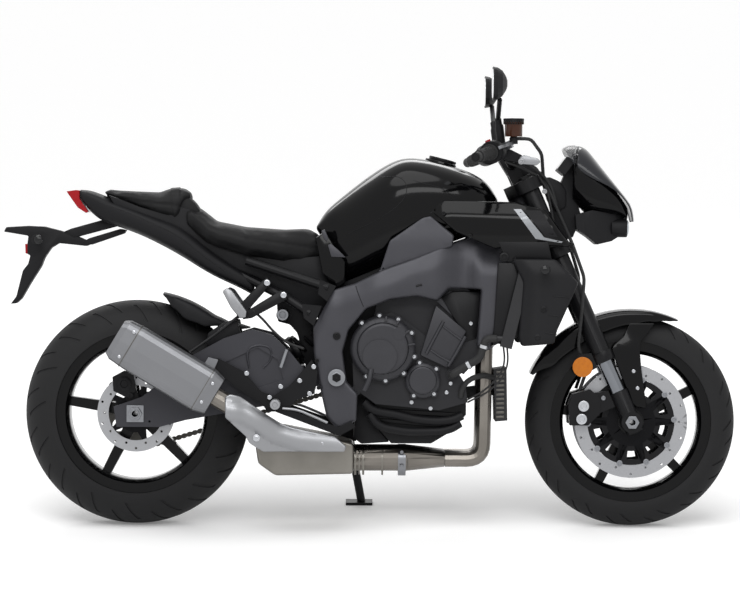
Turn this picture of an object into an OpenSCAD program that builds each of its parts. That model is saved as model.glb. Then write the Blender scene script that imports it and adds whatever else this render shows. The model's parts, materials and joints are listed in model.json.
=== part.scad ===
// Standard (naked) motorcycle, parked on its side stand.
// Every piece is drawn in the upright bike frame: X forward from the rear axle, Y to the left,
// Z up from the ground. parked() leans the whole machine onto its stand at the end.

/* [Wheels] */
// Distance between the two axles
wheelbase = 1405; // [1360:1:1450]
// Height of the front tyre over the bead seat
front_tyre_h = 83; // [79:1:87]
// Width of the front tyre
front_tyre_w = 120; // [112:1:124]
// Height of the rear tyre over the bead seat
rear_tyre_h = 103; // [99:1:107]
// Width of the rear tyre
rear_tyre_w = 190; // [180:1:192]
// Bead seat diameter of both rims
rim_d = 432; // [426:1:436]
// Number of spokes on each wheel
spoke_count = 5; // [3:1:6]

/* [Steering] */
// Steering head angle from the vertical
rake = 24; // [23:0.5:25]
// Ground trail of the front wheel
trail = 102; // [96:1:108]
// Distance between the two fork leg centres
fork_spread = 210; // [208:1:216]
// Diameter of the fork's outer tubes
fork_tube_d = 54; // [50:1:56]
// Overall width of the handlebar
bar_w = 800; // [780:1:820]

/* [Body] */
// Width of the fuel tank
tank_w = 316; // [300:1:324]
// Width of the rider's seat
seat_w = 296; // [280:1:310]
// Width of the passenger's seat
pillion_w = 214; // [200:1:224]
// Width of the tail cowl
tail_w = 236; // [224:1:244]
// Width of the frame over its spars
frame_w = 400; // [392:1:410]
// Width over the radiator shrouds
shroud_w = 470; // [460:1:480]

/* [Engine] */
// Width of the crankcase
crankcase_w = 280; // [270:1:286]
// Depth of the side covers
cover_depth = 52; // [44:1:54]
// Outer diameter of the exhaust header pipes
header_d = 44; // [40:1:46]
// Width of the silencer can
can_w = 112; // [100:1:116]

/* [Parking] */
// Angle at which the machine leans on its side stand
lean = 9; // [8:0.5:10]
// Distance of the stand's foot from the middle plane
stand_reach = 268; // [260:1:276]

/* [Hidden] */
$fn = 48;
overrun = 1;
seat_gap = 0.3;
run_gap = 0.05;
wall = 3;

// Photograph frame: where the two axles and the eye point lie in its pixels
rear_axle_px = [138.5, 412.4];
front_axle_px = [630, 419.4];
ground_px = 524;
eye_px = [350, 240];
eye_distance = 12000;

rim_r = rim_d / 2;
rear_r = rim_r + rear_tyre_h;
front_r = rim_r + front_tyre_h;
scale_px = wheelbase / (front_axle_px[0] - rear_axle_px[0]);
eye_x = (eye_px[0] - rear_axle_px[0]) * scale_px;
eye_z = (ground_px - eye_px[1]) * scale_px;
rear_lift = rear_r - (ground_px - rear_axle_px[1]) * scale_px;
front_lift = front_r - (ground_px - front_axle_px[1]) * scale_px;

// Place in the bike frame of a point seen in the photograph at a depth y from the middle plane
function lift_at(x) = rear_lift + (front_lift - rear_lift) * x / wheelbase;
function seen_x(px, y) = eye_x + (px - eye_px[0]) * scale_px * (1 - abs(y) / eye_distance);
function seen(p, y = 0) = let (x = seen_x(p[0], y))
    [x, eye_z + (eye_px[1] - p[1]) * scale_px * (1 - abs(y) / eye_distance) + lift_at(x)];
function seen_all(list, y = 0) = [for (p = list) seen(p, y)];
// The same for a point [px, py, y], and for a point that keeps its place by the front disc
function seen_3d(q) = let (p = seen([q[0], q[1]], q[2])) [p[0], q[2], p[1]];
function by_disc(p, y) = let (axle = [wheelbase, front_r])
    axle + (seen(p, y) - axle) * disc_r / disc_seen_r;

// Steering geometry: the fork axis passes through the front axle
fork_offset = front_r * sin(rake) - trail * cos(rake);
fork_half = fork_spread / 2;
fork_r = fork_tube_d / 2;

// Rings, lofts and swept tubes
ring_n = 24;
function power(v, e) = sign(v) * pow(abs(v), e);
function egg(i, n, w, up, down, e) = let (a = 360 * i / n, c = cos(a), s = sin(a))
    [w * power(c, 2 / e), (s > 0 ? up : down) * power(s, 2 / e)];
function ring_x(x, mid, w, up, down, e, n = ring_n) =
    [for (i = [0:n - 1]) let (p = egg(i, n, w, up, down, e)) [x, p[0], mid + p[1]]];
function fan(first, n, flip) =
    [for (i = [1:n - 2]) flip ? [first, first + i, first + i + 1] : [first, first + i + 1, first + i]];
function skin_faces(m, n) = concat(
    [for (j = [0:m - 2], i = [0:n - 1]) let (k = (i + 1) % n) [j * n + i, (j + 1) * n + i, j * n + k]],
    [for (j = [0:m - 2], i = [0:n - 1]) let (k = (i + 1) % n)
        [j * n + k, (j + 1) * n + i, (j + 1) * n + k]],
    fan(0, n, true), fan((m - 1) * n, n, false));
module loft(rings) {
    points = [for (r = rings, p = r) p];
    polyhedron(points, skin_faces(len(rings), len(rings[0])));
}

// Loft of stations [x px, top px, bottom px], with the half width at each as a share of w
module body_loft(stations, shares, w, e = 2.6, top_y = 0, low_y = 0, n = ring_n) {
    loft([for (i = [0:len(stations) - 1]) let (
        s = stations[i], top = seen([s[0], s[1]], top_y), low = seen([s[0], s[2]], low_y),
        mid = (top[1] + low[1]) / 2)
        ring_x(seen_x(s[0], 0), mid, shares[i] * w, top[1] - mid, mid - low[1], e, n)]);
}

function unit(v) = v / norm(v);
function along(points, i) = unit(points[min(i + 1, len(points) - 1)] - points[max(i - 1, 0)]);
// A polyline with each inner corner rounded by an arc-like curve of n steps
function corner(a, b, c, r, n) = let (p = b + unit(a - b) * r, q = b + unit(c - b) * r)
    [for (i = [0:n]) let (t = i / n) p * (1 - t) * (1 - t) + b * 2 * t * (1 - t) + q * t * t];
function rounded(points, r, n = 5) = let (m = len(points)) concat([points[0]],
    [for (i = [1:m - 2]) each corner(points[i - 1], points[i], points[i + 1], r, n)], [points[m - 1]]);
module tube(points, r, n = 12, up = [0, 1, 0]) {
    loft([for (i = [0:len(points) - 1]) let (
        t = along(points, i), side = unit(cross(up, t)), top = cross(t, side))
        [for (k = [0:n - 1]) let (a = 360 * k / n) points[i] + r * (side * cos(a) + top * sin(a))]]);
}

// Outline in the side view, extruded between two depths
module plate(outline, y_from, y_to) {
    translate([0, y_to, 0]) rotate([90, 0, 0]) linear_extrude(y_to - y_from) polygon(outline);
}
// Cylinder across the machine, between two depths, at a point of the side view
module cross_pin(at, r, y_from, y_to) {
    translate([at[0], y_to, at[1]]) rotate([90, 0, 0]) cylinder(r = r, h = y_to - y_from);
}
module both() {
    children();
    mirror([0, 1, 0]) children();
}
// Revolve about an axle, from one angle of the side view to another (0 is forward, 90 is up)
module revolve_y(from = 0, sweep = 360) {
    rotate([90, 0, 0]) mirror([0, 0, 1]) rotate([0, 0, from])
        rotate_extrude(angle = sweep, $fn = 96) children();
}
module at_rear_axle() { translate([0, 0, rear_r]) children(); }
module at_front_axle() { translate([wheelbase, 0, front_r]) children(); }
// Frame whose Z runs up the fork legs, from the front axle
module at_fork() { at_front_axle() rotate([0, -rake, 0]) children(); }
function fork_point(x, y, z) = [wheelbase + x * cos(rake) - z * sin(rake), y,
    front_r + x * sin(rake) + z * cos(rake)];

// Parking: the machine rolls onto the side of its tyre crowns, which lifts it a little
rear_crown_r = rear_tyre_w / 2;
park_lift = rear_crown_r * (1 - cos(lean));
// The row's origin lies under the middle of the parked machine's outline
origin_ahead = 658.94;
origin_left = 186.465;
module parked() {
    translate([-origin_ahead, -origin_left, park_lift]) rotate([-lean, 0, 0]) children();
}
function floor_z(y) = (y * sin(lean) - park_lift) / cos(lean);

// Wheels
axle_r = 12.5;
front_rim_w = 104;
rear_rim_w = 164;
flange_h = 13;
rim_depth = 24;
well_depth = 14;
bead_gap = seat_gap;
spoke_w = 34;
spoke_tip_w = 26;
spoke_thick_share = 0.36;
spoke_phase = 27;
hub_r = 46;
front_hub_half = 74;
wheel_spacer_r = 22;

module rim(rim_w, hub_left, hub_right) {
    half = rim_w / 2;
    inner_r = rim_r - rim_depth;
    revolve_y() polygon([[inner_r, -half * 0.62], [rim_r - well_depth, -half], [rim_r + flange_h, -half],
        [rim_r + flange_h, -half + wall * 2], [rim_r, -half + wall * 3], [rim_r - well_depth, -half * 0.4],
        [rim_r - well_depth, half * 0.4], [rim_r, half - wall * 3], [rim_r + flange_h, half - wall * 2],
        [rim_r + flange_h, half], [rim_r - well_depth, half], [inner_r, half * 0.62]]);
    revolve_y() polygon([[axle_r + run_gap, -hub_right], [hub_r * 0.8, -hub_right], [hub_r * 0.8, -half],
        [hub_r, -half * 0.7], [hub_r, half * 0.7], [hub_r * 0.8, half], [hub_r * 0.8, hub_left],
        [axle_r + run_gap, hub_left]]);
    spoke_half = half * spoke_thick_share;
    for (i = [0:spoke_count - 1]) rotate([0, -spoke_phase - 360 * i / spoke_count, 0])
        plate([[hub_r * 0.7, -spoke_w / 2], [inner_r + wall, -spoke_tip_w / 2],
            [inner_r + wall, spoke_tip_w / 2], [hub_r * 0.7, spoke_w / 2]], -spoke_half, spoke_half);
}
module tyre(r, w, rim_w) {
    crown = w / 2;
    base = rim_w / 2 - wall * 3 - bead_gap;
    seat_r = rim_r + bead_gap;
    lip_r = rim_r + flange_h + bead_gap;
    revolve_y() {
        intersection() {
            translate([r - crown, 0]) circle(r = crown, $fn = 96);
            translate([lip_r, -w]) square([r, w * 2]);
        }
        translate([seat_r, -base]) square([lip_r - seat_r + overrun, base * 2]);
    }
}
module front_wheel() {
    color("#141416") at_front_axle() rim(front_rim_w, front_hub_half, front_hub_half);
}
module rear_wheel() {
    color("#141416") at_rear_axle() rim(rear_rim_w, chain_y + sprocket_thick, rear_disc_y + disc_thick);
}
module front_tyre() {
    color("#1c1c1d") at_front_axle() tyre(front_r, front_tyre_w, front_rim_w);
}
module rear_tyre() {
    color("#1c1c1d") at_rear_axle() tyre(rear_r, rear_tyre_w, rear_rim_w);
}

// Brakes
disc_inset = 56;
disc_band = 36;
disc_r = rim_r - disc_inset;
disc_inner_r = disc_r - disc_band;
disc_seen_r = 160;
disc_thick = 5;
disc_y = 70;
carrier_r = 130;
carrier_arm_w = 26;
carrier_count = 10;
bobbin_r = 8;
rear_disc_r = 110;
rear_disc_inner_r = 78;
rear_disc_y = 102;
disc_hole_r = 3.4;
disc_hole_count = 20;

module disc_ring(outer, inner, y) {
    thick = disc_thick / 2;
    difference() {
        revolve_y() polygon([[inner, y - thick], [outer, y - thick], [outer, y + thick], [inner, y + thick]]);
        for (i = [0:disc_hole_count - 1]) rotate([0, 360 * i / disc_hole_count, 0])
            cross_pin([inner + (outer - inner) * (i % 2 == 0 ? 0.35 : 0.7), 0], disc_hole_r,
                y - disc_thick, y + disc_thick);
    }
}
module carrier(outer, y, count) {
    thick = disc_thick / 2;
    ring_r = hub_r + (outer - hub_r) * 0.3;
    revolve_y() polygon([[hub_r * 0.8 + seat_gap, y - thick], [ring_r, y - thick], [ring_r, y + thick],
        [hub_r * 0.8 + seat_gap, y + thick]]);
    for (i = [0:count - 1]) rotate([0, 360 * i / count, 0]) {
        plate([[ring_r - wall, -carrier_arm_w / 2], [outer + wall, -bobbin_r * 0.7], [outer + wall, bobbin_r * 0.7],
            [ring_r - wall, carrier_arm_w / 2]], y - thick * 0.8, y + thick * 0.8);
        cross_pin([outer, 0], bobbin_r, y - thick - wall / 2, y + thick + wall / 2);
    }
}
module front_discs() {
    color("#b9bbbe") at_front_axle() both() {
        disc_ring(disc_r, disc_inner_r, disc_y);
        carrier(disc_inner_r, disc_y, carrier_count);
    }
}
module rear_disc() {
    color("#b9bbbe") at_rear_axle() {
        disc_ring(rear_disc_r, rear_disc_inner_r, -rear_disc_y);
        carrier(rear_disc_inner_r, -rear_disc_y, spoke_count);
    }
}

// Final drive
chain_pitch = 15.875;
rear_teeth = 43;
front_teeth = 16;
chain_y = 108;
chain_plate_w = 14;
chain_waist_w = 9;
chain_plate_thick = 2.4;
chain_roller_r = 5;
chain_inner_w = 9;
sprocket_thick = 7;
drive_ahead_px = [368, 367];
drive_at = seen(drive_ahead_px);
rear_pitch_r = chain_pitch / (2 * sin(180 / rear_teeth));
front_pitch_r = chain_pitch / (2 * sin(180 / front_teeth));
// The two sprockets and the tangents that the chain follows between them
drive_run = norm([drive_at[0], drive_at[1] - rear_r]);
drive_slope = atan2(drive_at[1] - rear_r, drive_at[0]);
drive_wrap = asin((rear_pitch_r - front_pitch_r) / drive_run);
run_len = drive_run * cos(drive_wrap);
rear_arc = rear_pitch_r * (180 + 2 * drive_wrap) * PI / 180;
front_arc = front_pitch_r * (180 - 2 * drive_wrap) * PI / 180;
chain_len = 2 * run_len + rear_arc + front_arc;
link_count = 2 * round(chain_len / chain_pitch / 2);
function turn(v, a) = [v[0] * cos(a) - v[1] * sin(a), v[0] * sin(a) + v[1] * cos(a)];
function round_point(mid, r, a) = mid + [r * cos(a), r * sin(a)];
function chain_point(s) = let (top = 90 - drive_wrap + drive_slope, low = 270 + drive_wrap + drive_slope,
        rear_mid = [0, rear_r], a = s - run_len, b = a - rear_arc, c = b - run_len)
    s < run_len ? round_point(drive_at, front_pitch_r, top) * (1 - s / run_len)
        + round_point(rear_mid, rear_pitch_r, top) * s / run_len
    : a < rear_arc ? round_point(rear_mid, rear_pitch_r, top + a / rear_pitch_r * 180 / PI)
    : b < run_len ? round_point(rear_mid, rear_pitch_r, low) * (1 - b / run_len)
        + round_point(drive_at, front_pitch_r, low) * b / run_len
    : round_point(drive_at, front_pitch_r, low + c / front_pitch_r * 180 / PI);
chain_pins = [for (i = [0:link_count - 1]) chain_point(chain_len * i / link_count)];
// Outer or inner edge of the side plates: wide at each pin, waisted between pins
function chain_edge(i, out) = let (p = chain_pins[i % link_count], q = chain_pins[(i + 1) % link_count],
        t = unit(q - p), n = [t[1], -t[0]] * out, mid = (p + q) / 2)
    [p + n * chain_plate_w / 2 + t * chain_pitch * 0.18, mid + n * chain_waist_w / 2,
        q + n * chain_plate_w / 2 - t * chain_pitch * 0.18];
module chain_side(y_from, y_to) {
    difference() {
        plate([for (i = [0:link_count - 1]) each chain_edge(i, 1)], y_from, y_to);
        plate([for (i = [0:link_count - 1]) each chain_edge(i, -1)], y_from - overrun, y_to + overrun);
    }
}
module chain() {
    out = chain_inner_w / 2 + chain_plate_thick;
    color("#57544c") {
        chain_side(chain_y + chain_inner_w / 2, chain_y + out);
        chain_side(chain_y - out, chain_y - chain_inner_w / 2);
        for (p = chain_pins) cross_pin(p, chain_roller_r, chain_y - out, chain_y + out);
        difference() {
            cross_pin(drive_at, front_pitch_r - chain_roller_r * 0.5, chain_y - sprocket_thick / 2,
                chain_y + sprocket_thick / 2);
            cross_pin(drive_at, drive_shaft_r, chain_y - sprocket_thick, chain_y + sprocket_thick);
        }
    }
}
module rear_sprocket() {
    tip_r = rear_pitch_r - chain_roller_r - seat_gap;
    tooth_depth = chain_roller_r * 0.8;
    thick = sprocket_thick / 2;
    color("#6d6a63") at_rear_axle() translate([0, chain_y, 0]) {
        difference() {
            rotate([90, 0, 0]) linear_extrude(sprocket_thick, center = true) difference() {
                polygon([for (i = [0:rear_teeth - 1], s = [[0, 0], [0.3, 1], [0.7, 1]])
                    round_point([0, 0], tip_r - tooth_depth * (1 - s[1]), 360 * (i + s[0]) / rear_teeth)]);
                circle(r = hub_r * 0.8 + seat_gap);
            }
            for (i = [0:spoke_count - 1]) rotate([0, 360 * i / spoke_count, 0])
                cross_pin([(tip_r + hub_r) / 2, 0], hub_r * 0.4, -sprocket_thick, sprocket_thick);
        }
        for (i = [0:spoke_count - 1]) rotate([0, 360 * (i + 0.5) / spoke_count, 0])
            cross_pin([hub_r * 1.25, 0], bobbin_r, -chain_y + rear_rim_w * 0.35, thick + wall);
    }
}

// Axles
front_axle_bore_r = 8.5;
axle_nut_r = 20;
rear_axle_half = 176;
block_size = 48;
arm_in = 126;
arm_out = 160;
nut_thick = 9;
module rear_axle() {
    color("#8f9296") at_rear_axle() {
        difference() {
            union() {
                cross_pin([0, 0], axle_r, -rear_axle_half, rear_axle_half);
                both() {
                    plate([[-block_size / 2, -block_size / 2], [block_size / 2, -block_size / 2],
                        [block_size / 2, block_size / 2], [-block_size / 2, block_size / 2]],
                        arm_out, arm_out + wall * 2);
                    cross_pin([0, 0], axle_nut_r, arm_out + wall * 2, rear_axle_half - wall, $fn = 6);
                    cross_pin([0, 0], wheel_spacer_r, rear_disc_y + sprocket_thick * 2 + wall, arm_in);
                }
            }
            cross_pin([0, 0], front_axle_bore_r, -rear_axle_half - overrun, rear_axle_half + overrun);
        }
    }
}
module front_axle() {
    leg_out = fork_half + foot_r + seat_gap;
    front_axle_half = leg_out + nut_thick;
    color("#3a3b3e") at_front_axle() difference() {
        union() {
            cross_pin([0, 0], axle_r, -front_axle_half, front_axle_half);
            both() cross_pin([0, 0], axle_nut_r, leg_out, front_axle_half, $fn = 6);
            both() cross_pin([0, 0], wheel_spacer_r * 0.8, front_hub_half + seat_gap, fork_half - fork_r);
        }
        cross_pin([0, 0], front_axle_bore_r, -front_axle_half - overrun, front_axle_half + overrun);
    }
}

// Fork and yokes, in the fork frame
slider_r = 21.5;
foot_r = 25;
foot_top = 94;
foot_low = 30;
seal_at = 200;
fork_top = 752;
lower_yoke_at = 512;
top_yoke_at = 716;
yoke_thick = 34;
stem_r = 15;
module fork_tubes() {
    color("#17171a") at_fork() both() translate([0, fork_half, 0]) {
        difference() {
            union() {
                translate([0, 0, seal_at]) cylinder(r = fork_r, h = fork_top - seal_at);
                translate([0, 0, seal_at - wall * 4]) cylinder(r = fork_r + wall, h = wall * 10);
                translate([0, 0, fork_top]) cylinder(r = fork_r * 0.72, h = wall * 3, $fn = 6);
            }
            translate([0, 0, seal_at - wall * 4 - overrun])
                cylinder(r = slider_r + run_gap, h = fork_top - seal_at - wall * 8);
        }
    }
}
module fork_feet() {
    color("#1b1b1e") at_fork() both() translate([0, fork_half, 0]) difference() {
        union() {
            translate([0, 0, -foot_low]) cylinder(r = foot_r, h = foot_top + foot_low);
            rotate([0, rake, 0]) cross_pin([0, 0], foot_low, -foot_r, foot_r);
        }
        rotate([0, rake, 0]) cross_pin([0, 0], axle_r + run_gap, -foot_r * 2, foot_r * 2);
        translate([0, 0, foot_top - wall * 8]) cylinder(r = slider_r + run_gap, h = foot_top);
    }
}
module fork_sliders() {
    color("#c9ccd0") at_fork() both() translate([0, fork_half, foot_top - wall * 8 + run_gap])
        cylinder(r = slider_r, h = fork_top - foot_top - wall * 12);
}
module yoke(z, reach) {
    translate([0, 0, z]) linear_extrude(yoke_thick) difference() {
            hull() {
                for (s = [-1, 1]) translate([0, s * fork_half]) circle(r = fork_r + wall * 4, $fn = 32);
                translate([-fork_offset, 0]) circle(r = fork_r + wall * 3, $fn = 32);
                translate([reach, 0]) circle(r = fork_r * 0.5, $fn = 32);
            }
            for (s = [-1, 1]) translate([0, s * fork_half]) circle(r = fork_r + run_gap);
        }
}
module yokes() {
    color("#1d1d20") at_fork() {
        yoke(top_yoke_at, 0);
        for (s = [-1, 1]) translate([-fork_offset + bar_back, s * bar_clamp_half, top_yoke_at + yoke_thick])
            difference() {
                translate([0, 0, bar_rise / 2]) cube([bar_r * 3.4, wall * 9, bar_rise], center = true);
                translate([0, 0, bar_rise - bar_r * 0.6]) rotate([90, 0, 0])
                    cylinder(r = bar_r + seat_gap, h = wall * 20, center = true);
            }
        yoke(lower_yoke_at, 0);
        translate([-fork_offset, 0, lower_yoke_at + yoke_thick])
            cylinder(r = stem_r, h = top_yoke_at - lower_yoke_at - yoke_thick - seat_gap);
    }
}

// Handlebar and its controls; bar points are in the fork frame, measured from the bar clamp
bar_r = 11;
bar_clamp_half = 52;
bar_rise = 58;
bar_back = 10;
grip_r = 17;
grip_len = 122;
weight_len = 26;
bar_lift = 62;
bar_sweep = 96;
bar_flat_half = 96;
bar_shoulder_half = 142;
bar_half = bar_w / 2;
bar_z = top_yoke_at + yoke_thick + bar_rise - bar_r * 0.6;
bar_x = -fork_offset + bar_back;
grip_start = bar_half - weight_len - grip_len;
// Right half of the bar: flat clamp, rise to the shoulder, then sweep back to the end
bar_end = [bar_x - bar_sweep, -bar_half, bar_z + bar_lift];
bar_shoulder = [bar_x - bar_sweep * 0.12, -bar_shoulder_half, bar_z + bar_lift * 0.92];
bar_path = rounded([[bar_x, 0, bar_z], [bar_x, -bar_flat_half, bar_z], bar_shoulder, bar_end], bar_r * 2.3);
bar_way = unit(bar_end - bar_shoulder);
function bar_at(y) = bar_end + bar_way * (bar_half - y) / bar_way[1];
module along_bar(y) {
    translate(bar_at(y)) rotate([0, 0, atan2(bar_way[0], -bar_way[1])])
        rotate([-asin(bar_way[2]), 0, 0]) rotate([90, 0, 0]) children();
}
module handlebar() {
    color("#232326") at_fork() {
        way = [for (p = bar_path) p];
        full = concat([for (i = [len(way) - 1:-1:1]) [way[i][0], -way[i][1], way[i][2]]], way);
        tube(full, bar_r, 12, [0, 0, 1]);
    }
}
module grips() {
    color("#1a1a1b") at_fork() both() {
        along_bar(grip_start) difference() {
            union() {
                cylinder(r = grip_r, h = grip_len);
                cylinder(r = grip_r + wall * 2, h = wall * 2);
            }
            translate([0, 0, -overrun]) cylinder(r = bar_r + seat_gap, h = grip_len + overrun * 2);
        }
        along_bar(bar_half - weight_len + seat_gap) difference() {
            cylinder(r = grip_r - wall, h = weight_len);
            translate([0, 0, -overrun]) cylinder(r = bar_r + seat_gap, h = weight_len + overrun * 2);
        }
    }
}
switch_len = 40;
switch_r = 31;
lever_len = 172;
lever_thick = 9;
lever_ahead = 46;
perch_len = 34;
module switches() {
    color("#18181a") at_fork() both() along_bar(grip_start - switch_len - wall) difference() {
        union() {
            cylinder(r = switch_r, h = switch_len);
            translate([switch_r * 0.3, -switch_r * 0.2, 0]) cylinder(r = switch_r * 0.8, h = switch_len * 0.8);
        }
        translate([0, 0, -overrun]) cylinder(r = bar_r + seat_gap, h = switch_len + overrun * 2);
    }
}
module levers() {
    color("#9a9da1") at_fork() both() along_bar(grip_start - switch_len - wall * 3 - perch_len) {
        difference() {
            union() {
                cylinder(r = bar_r * 1.7, h = perch_len * 0.6);
                translate([lever_ahead * 0.5, 0, perch_len * 0.3]) cube([lever_ahead, bar_r * 2, perch_len * 0.55],
                    center = true);
            }
            translate([0, 0, -overrun]) cylinder(r = bar_r + seat_gap, h = perch_len * 2);
        }
        rotate([90, 0, 0]) translate([0, 0, -lever_thick / 2]) linear_extrude(lever_thick)
            polygon([[lever_ahead * 0.8, 0], [lever_ahead + lever_thick, 0],
                [lever_ahead + lever_thick * 1.8, perch_len * 0.5], [lever_ahead + lever_thick, lever_len * 0.6],
                [lever_ahead + lever_thick * 1.6, lever_len], [lever_ahead + lever_thick * 0.6, lever_len],
                [lever_ahead, lever_len * 0.6], [lever_ahead * 0.8, perch_len * 0.55]]);
    }
}
mirror_h = 94;
mirror_w = 150;
mirror_depth = 40;
mirror_y = 342;
mirror_foot_y = 180;
mirror_px = [499, 83];
stem_r2 = 7;
module mirrors() {
    at = seen(mirror_px, mirror_y);
    color("#141416") both() {
        translate([at[0], -mirror_y, at[1]]) loft([for (t = [0, 0.3, 0.65, 0.9, 1]) let (
            k = sqrt(max(0.04, 1 - t * t)))
            [for (i = [0:ring_n - 1]) let (p = egg(i, ring_n, mirror_w / 2 * k, mirror_h / 2 * k,
                mirror_h / 2 * k, 3)) [mirror_depth * (t - 0.5), p[0], p[1]]]]);
        foot = bar_at(mirror_foot_y);
        low = fork_point(foot[0] + bar_r * 1.7, foot[1], foot[2] + bar_r * 1.2);
        tube([low, [at[0], -mirror_foot_y - wall * 4, at[1] - mirror_h],
            [at[0], -mirror_y + mirror_w * 0.14, at[1] - mirror_h * 0.5 + wall]], stem_r2, 10, [1, 0, 0]);
    }
}
cup_r = 28;
cup_h = 50;
cup_px = [512.8, 127];
cup_y = 214;
module brake_reservoir() {
    at = seen(cup_px, cup_y);
    color("#5a2f17") translate([at[0], -cup_y, at[1]]) {
        translate([0, 0, -cup_h / 2]) cylinder(r = cup_r * 0.88, h = cup_h * 0.7);
        translate([0, 0, cup_h * 0.2]) cylinder(r = cup_r, h = cup_h * 0.3);
        translate([0, 0, -cup_h * 0.9]) cylinder(r = cup_r * 0.35, h = cup_h * 0.42);
    }
}

// Nose: instrument, twin lamp unit and screen
nose_half = 112;
meter_half = 82;
meter_px = [[557, 169], [567, 155.5], [574.6, 160.5], [564.1, 174.5]];
screen_px = [[561, 147.5], [567, 143.5], [586, 146], [630, 203], [634, 225], [629, 226], [624, 205],
    [583, 152], [569, 151], [563, 154]];
cowl_stations_px = [[576, 153.4, 196], [584, 154.8, 203], [596, 169.2, 206], [612, 190, 210], [620, 200.4, 211.5],
    [624, 207.5, 212.5]];
cowl_shares = [0.8, 0.92, 1, 0.9, 0.72, 0.5];
lamp_px = [[575, 214], [592, 209], [624, 214.5], [626, 222], [623, 233], [612, 240], [597, 243.5],
    [588, 236], [576, 228]];
lamp_half = 88;
lens_px = [[610, 227], [625.5, 227]];
lens_y = 44;
lens_r = 26;
stay_px = [[551, 204], [563.9, 174.3], [574.4, 160.3], [576.5, 162], [576.5, 200], [580, 212], [576, 228], [568, 248],
    [557, 240]];
stay_half = 40;
module meter() {
    color("#161618") plate(seen_all(meter_px, meter_half), -meter_half, meter_half);
}
module windscreen() {
    color("#3b3d40") intersection() {
        plate(seen_all(screen_px), -nose_half, nose_half);
        translate([seen(screen_px[4])[0] - nose_half * 3, 0, 0]) scale([3, 1, 1])
            cylinder(r = nose_half, h = wheelbase);
    }
}
module nose_cowl() {
    color("#0d0d0e") body_loft(cowl_stations_px, cowl_shares, nose_half - wall * 3, 3.2);
}
module headlamp() {
    color("#1f2024") intersection() {
        plate(seen_all(lamp_px, lamp_half), -lamp_half, lamp_half);
        translate([seen(lamp_px[2])[0] - lamp_half * 2, 0, 0]) scale([2.1, 1.05, 1])
            cylinder(r = lamp_half, h = wheelbase);
    }
    color("#1f2024") both() translate([seen(lens_px[0])[0], lens_y, seen(lens_px[0])[1]]) rotate([0, 90, 0])
        cylinder(r = lens_r, h = seen(lens_px[1])[0] - seen(lens_px[0])[0]);
    color("#1b1b1e") difference() {
        plate(seen_all(stay_px, stay_half), -stay_half, stay_half);
        at_fork() translate([0, 0, lower_yoke_at]) cylinder(r = fork_spread, h = yoke_thick + seat_gap);
    }
}

// Front mudguard, revolved about the front axle
guard_gap = 13;
guard_r = front_r + guard_gap;
guard_half = 72;
guard_from = 64;
guard_sweep = 92;
guard_skirt = 34;
leg_px = [[600, 326], [614, 317], [643, 318], [644, 352], [651, 406], [645, 410], [624, 394], [620, 372], [618, 352]];
leg_y = 82;
module front_mudguard() {
    color("#0f0f10") {
        at_front_axle() revolve_y(guard_from, guard_sweep) polygon([[guard_r, -guard_half * 0.55],
            [guard_r, guard_half * 0.55], [guard_r - guard_skirt * 0.35, guard_half],
            [guard_r - guard_skirt, guard_half], [guard_r - guard_skirt, guard_half + wall],
            [guard_r - guard_skirt * 0.3, guard_half + wall], [guard_r + wall, guard_half * 0.58],
            [guard_r + wall, -guard_half * 0.58], [guard_r - guard_skirt * 0.3, -guard_half - wall],
            [guard_r - guard_skirt, -guard_half - wall], [guard_r - guard_skirt, -guard_half],
            [guard_r - guard_skirt * 0.35, -guard_half]]);
        both() difference() {
            plate(seen_all(leg_px, leg_y), guard_half + wall * 0.5, leg_y + wall * 2);
            at_front_axle() cross_pin([0, 0], disc_r + pad_gap, 0, leg_y);
            at_fork() translate([0, fork_half, -foot_low]) cylinder(r = foot_r + seat_gap, h = fork_top);
        }
    }
}
caliper_px = [[568, 404], [572, 393], [590, 388], [600, 396], [600, 412], [588, 424], [570, 424]];
caliper_lug_px = [[590, 392], [618, 388], [618, 404], [594, 414]];
caliper_in = 44;
caliper_out = 112;
pad_gap = 5;
piston_px = [[584, 405], [582, 418]];
piston_r = 15;
module front_calipers() {
    color("#19191b") both() difference() {
        union() {
            plate([for (p = caliper_px) by_disc(p, disc_y)], caliper_in, caliper_out);
            plate([for (p = caliper_lug_px) by_disc(p, disc_y)], leg_y, caliper_out - wall);
            for (p = piston_px)
                cross_pin(by_disc(p, caliper_out), piston_r, caliper_out - wall, caliper_out + wall * 2);
        }
        at_front_axle() revolve_y() polygon([[0, disc_y - pad_gap - disc_thick / 2],
            [disc_r + pad_gap, disc_y - pad_gap - disc_thick / 2],
            [disc_r + pad_gap, disc_y + pad_gap + disc_thick / 2], [0, disc_y + pad_gap + disc_thick / 2]]);
        at_fork() translate([0, fork_half, -foot_low - overrun]) cylinder(r = foot_r + seat_gap, h = fork_top);
    }
}
brake_hose_r = 5;
brake_hose_bend = 16;
hose_top_px = [[516.5, 138, -214], [530, 138, -208], [541, 153, -165]];
hose_end_px = [580, 389.9, -96];
hose_run = [[50, 84, 735], [50, 84, 530], [40, 140, 430], [-6, 146, 345], [-54, 112, 255], [-54, 100, 190]];
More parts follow.
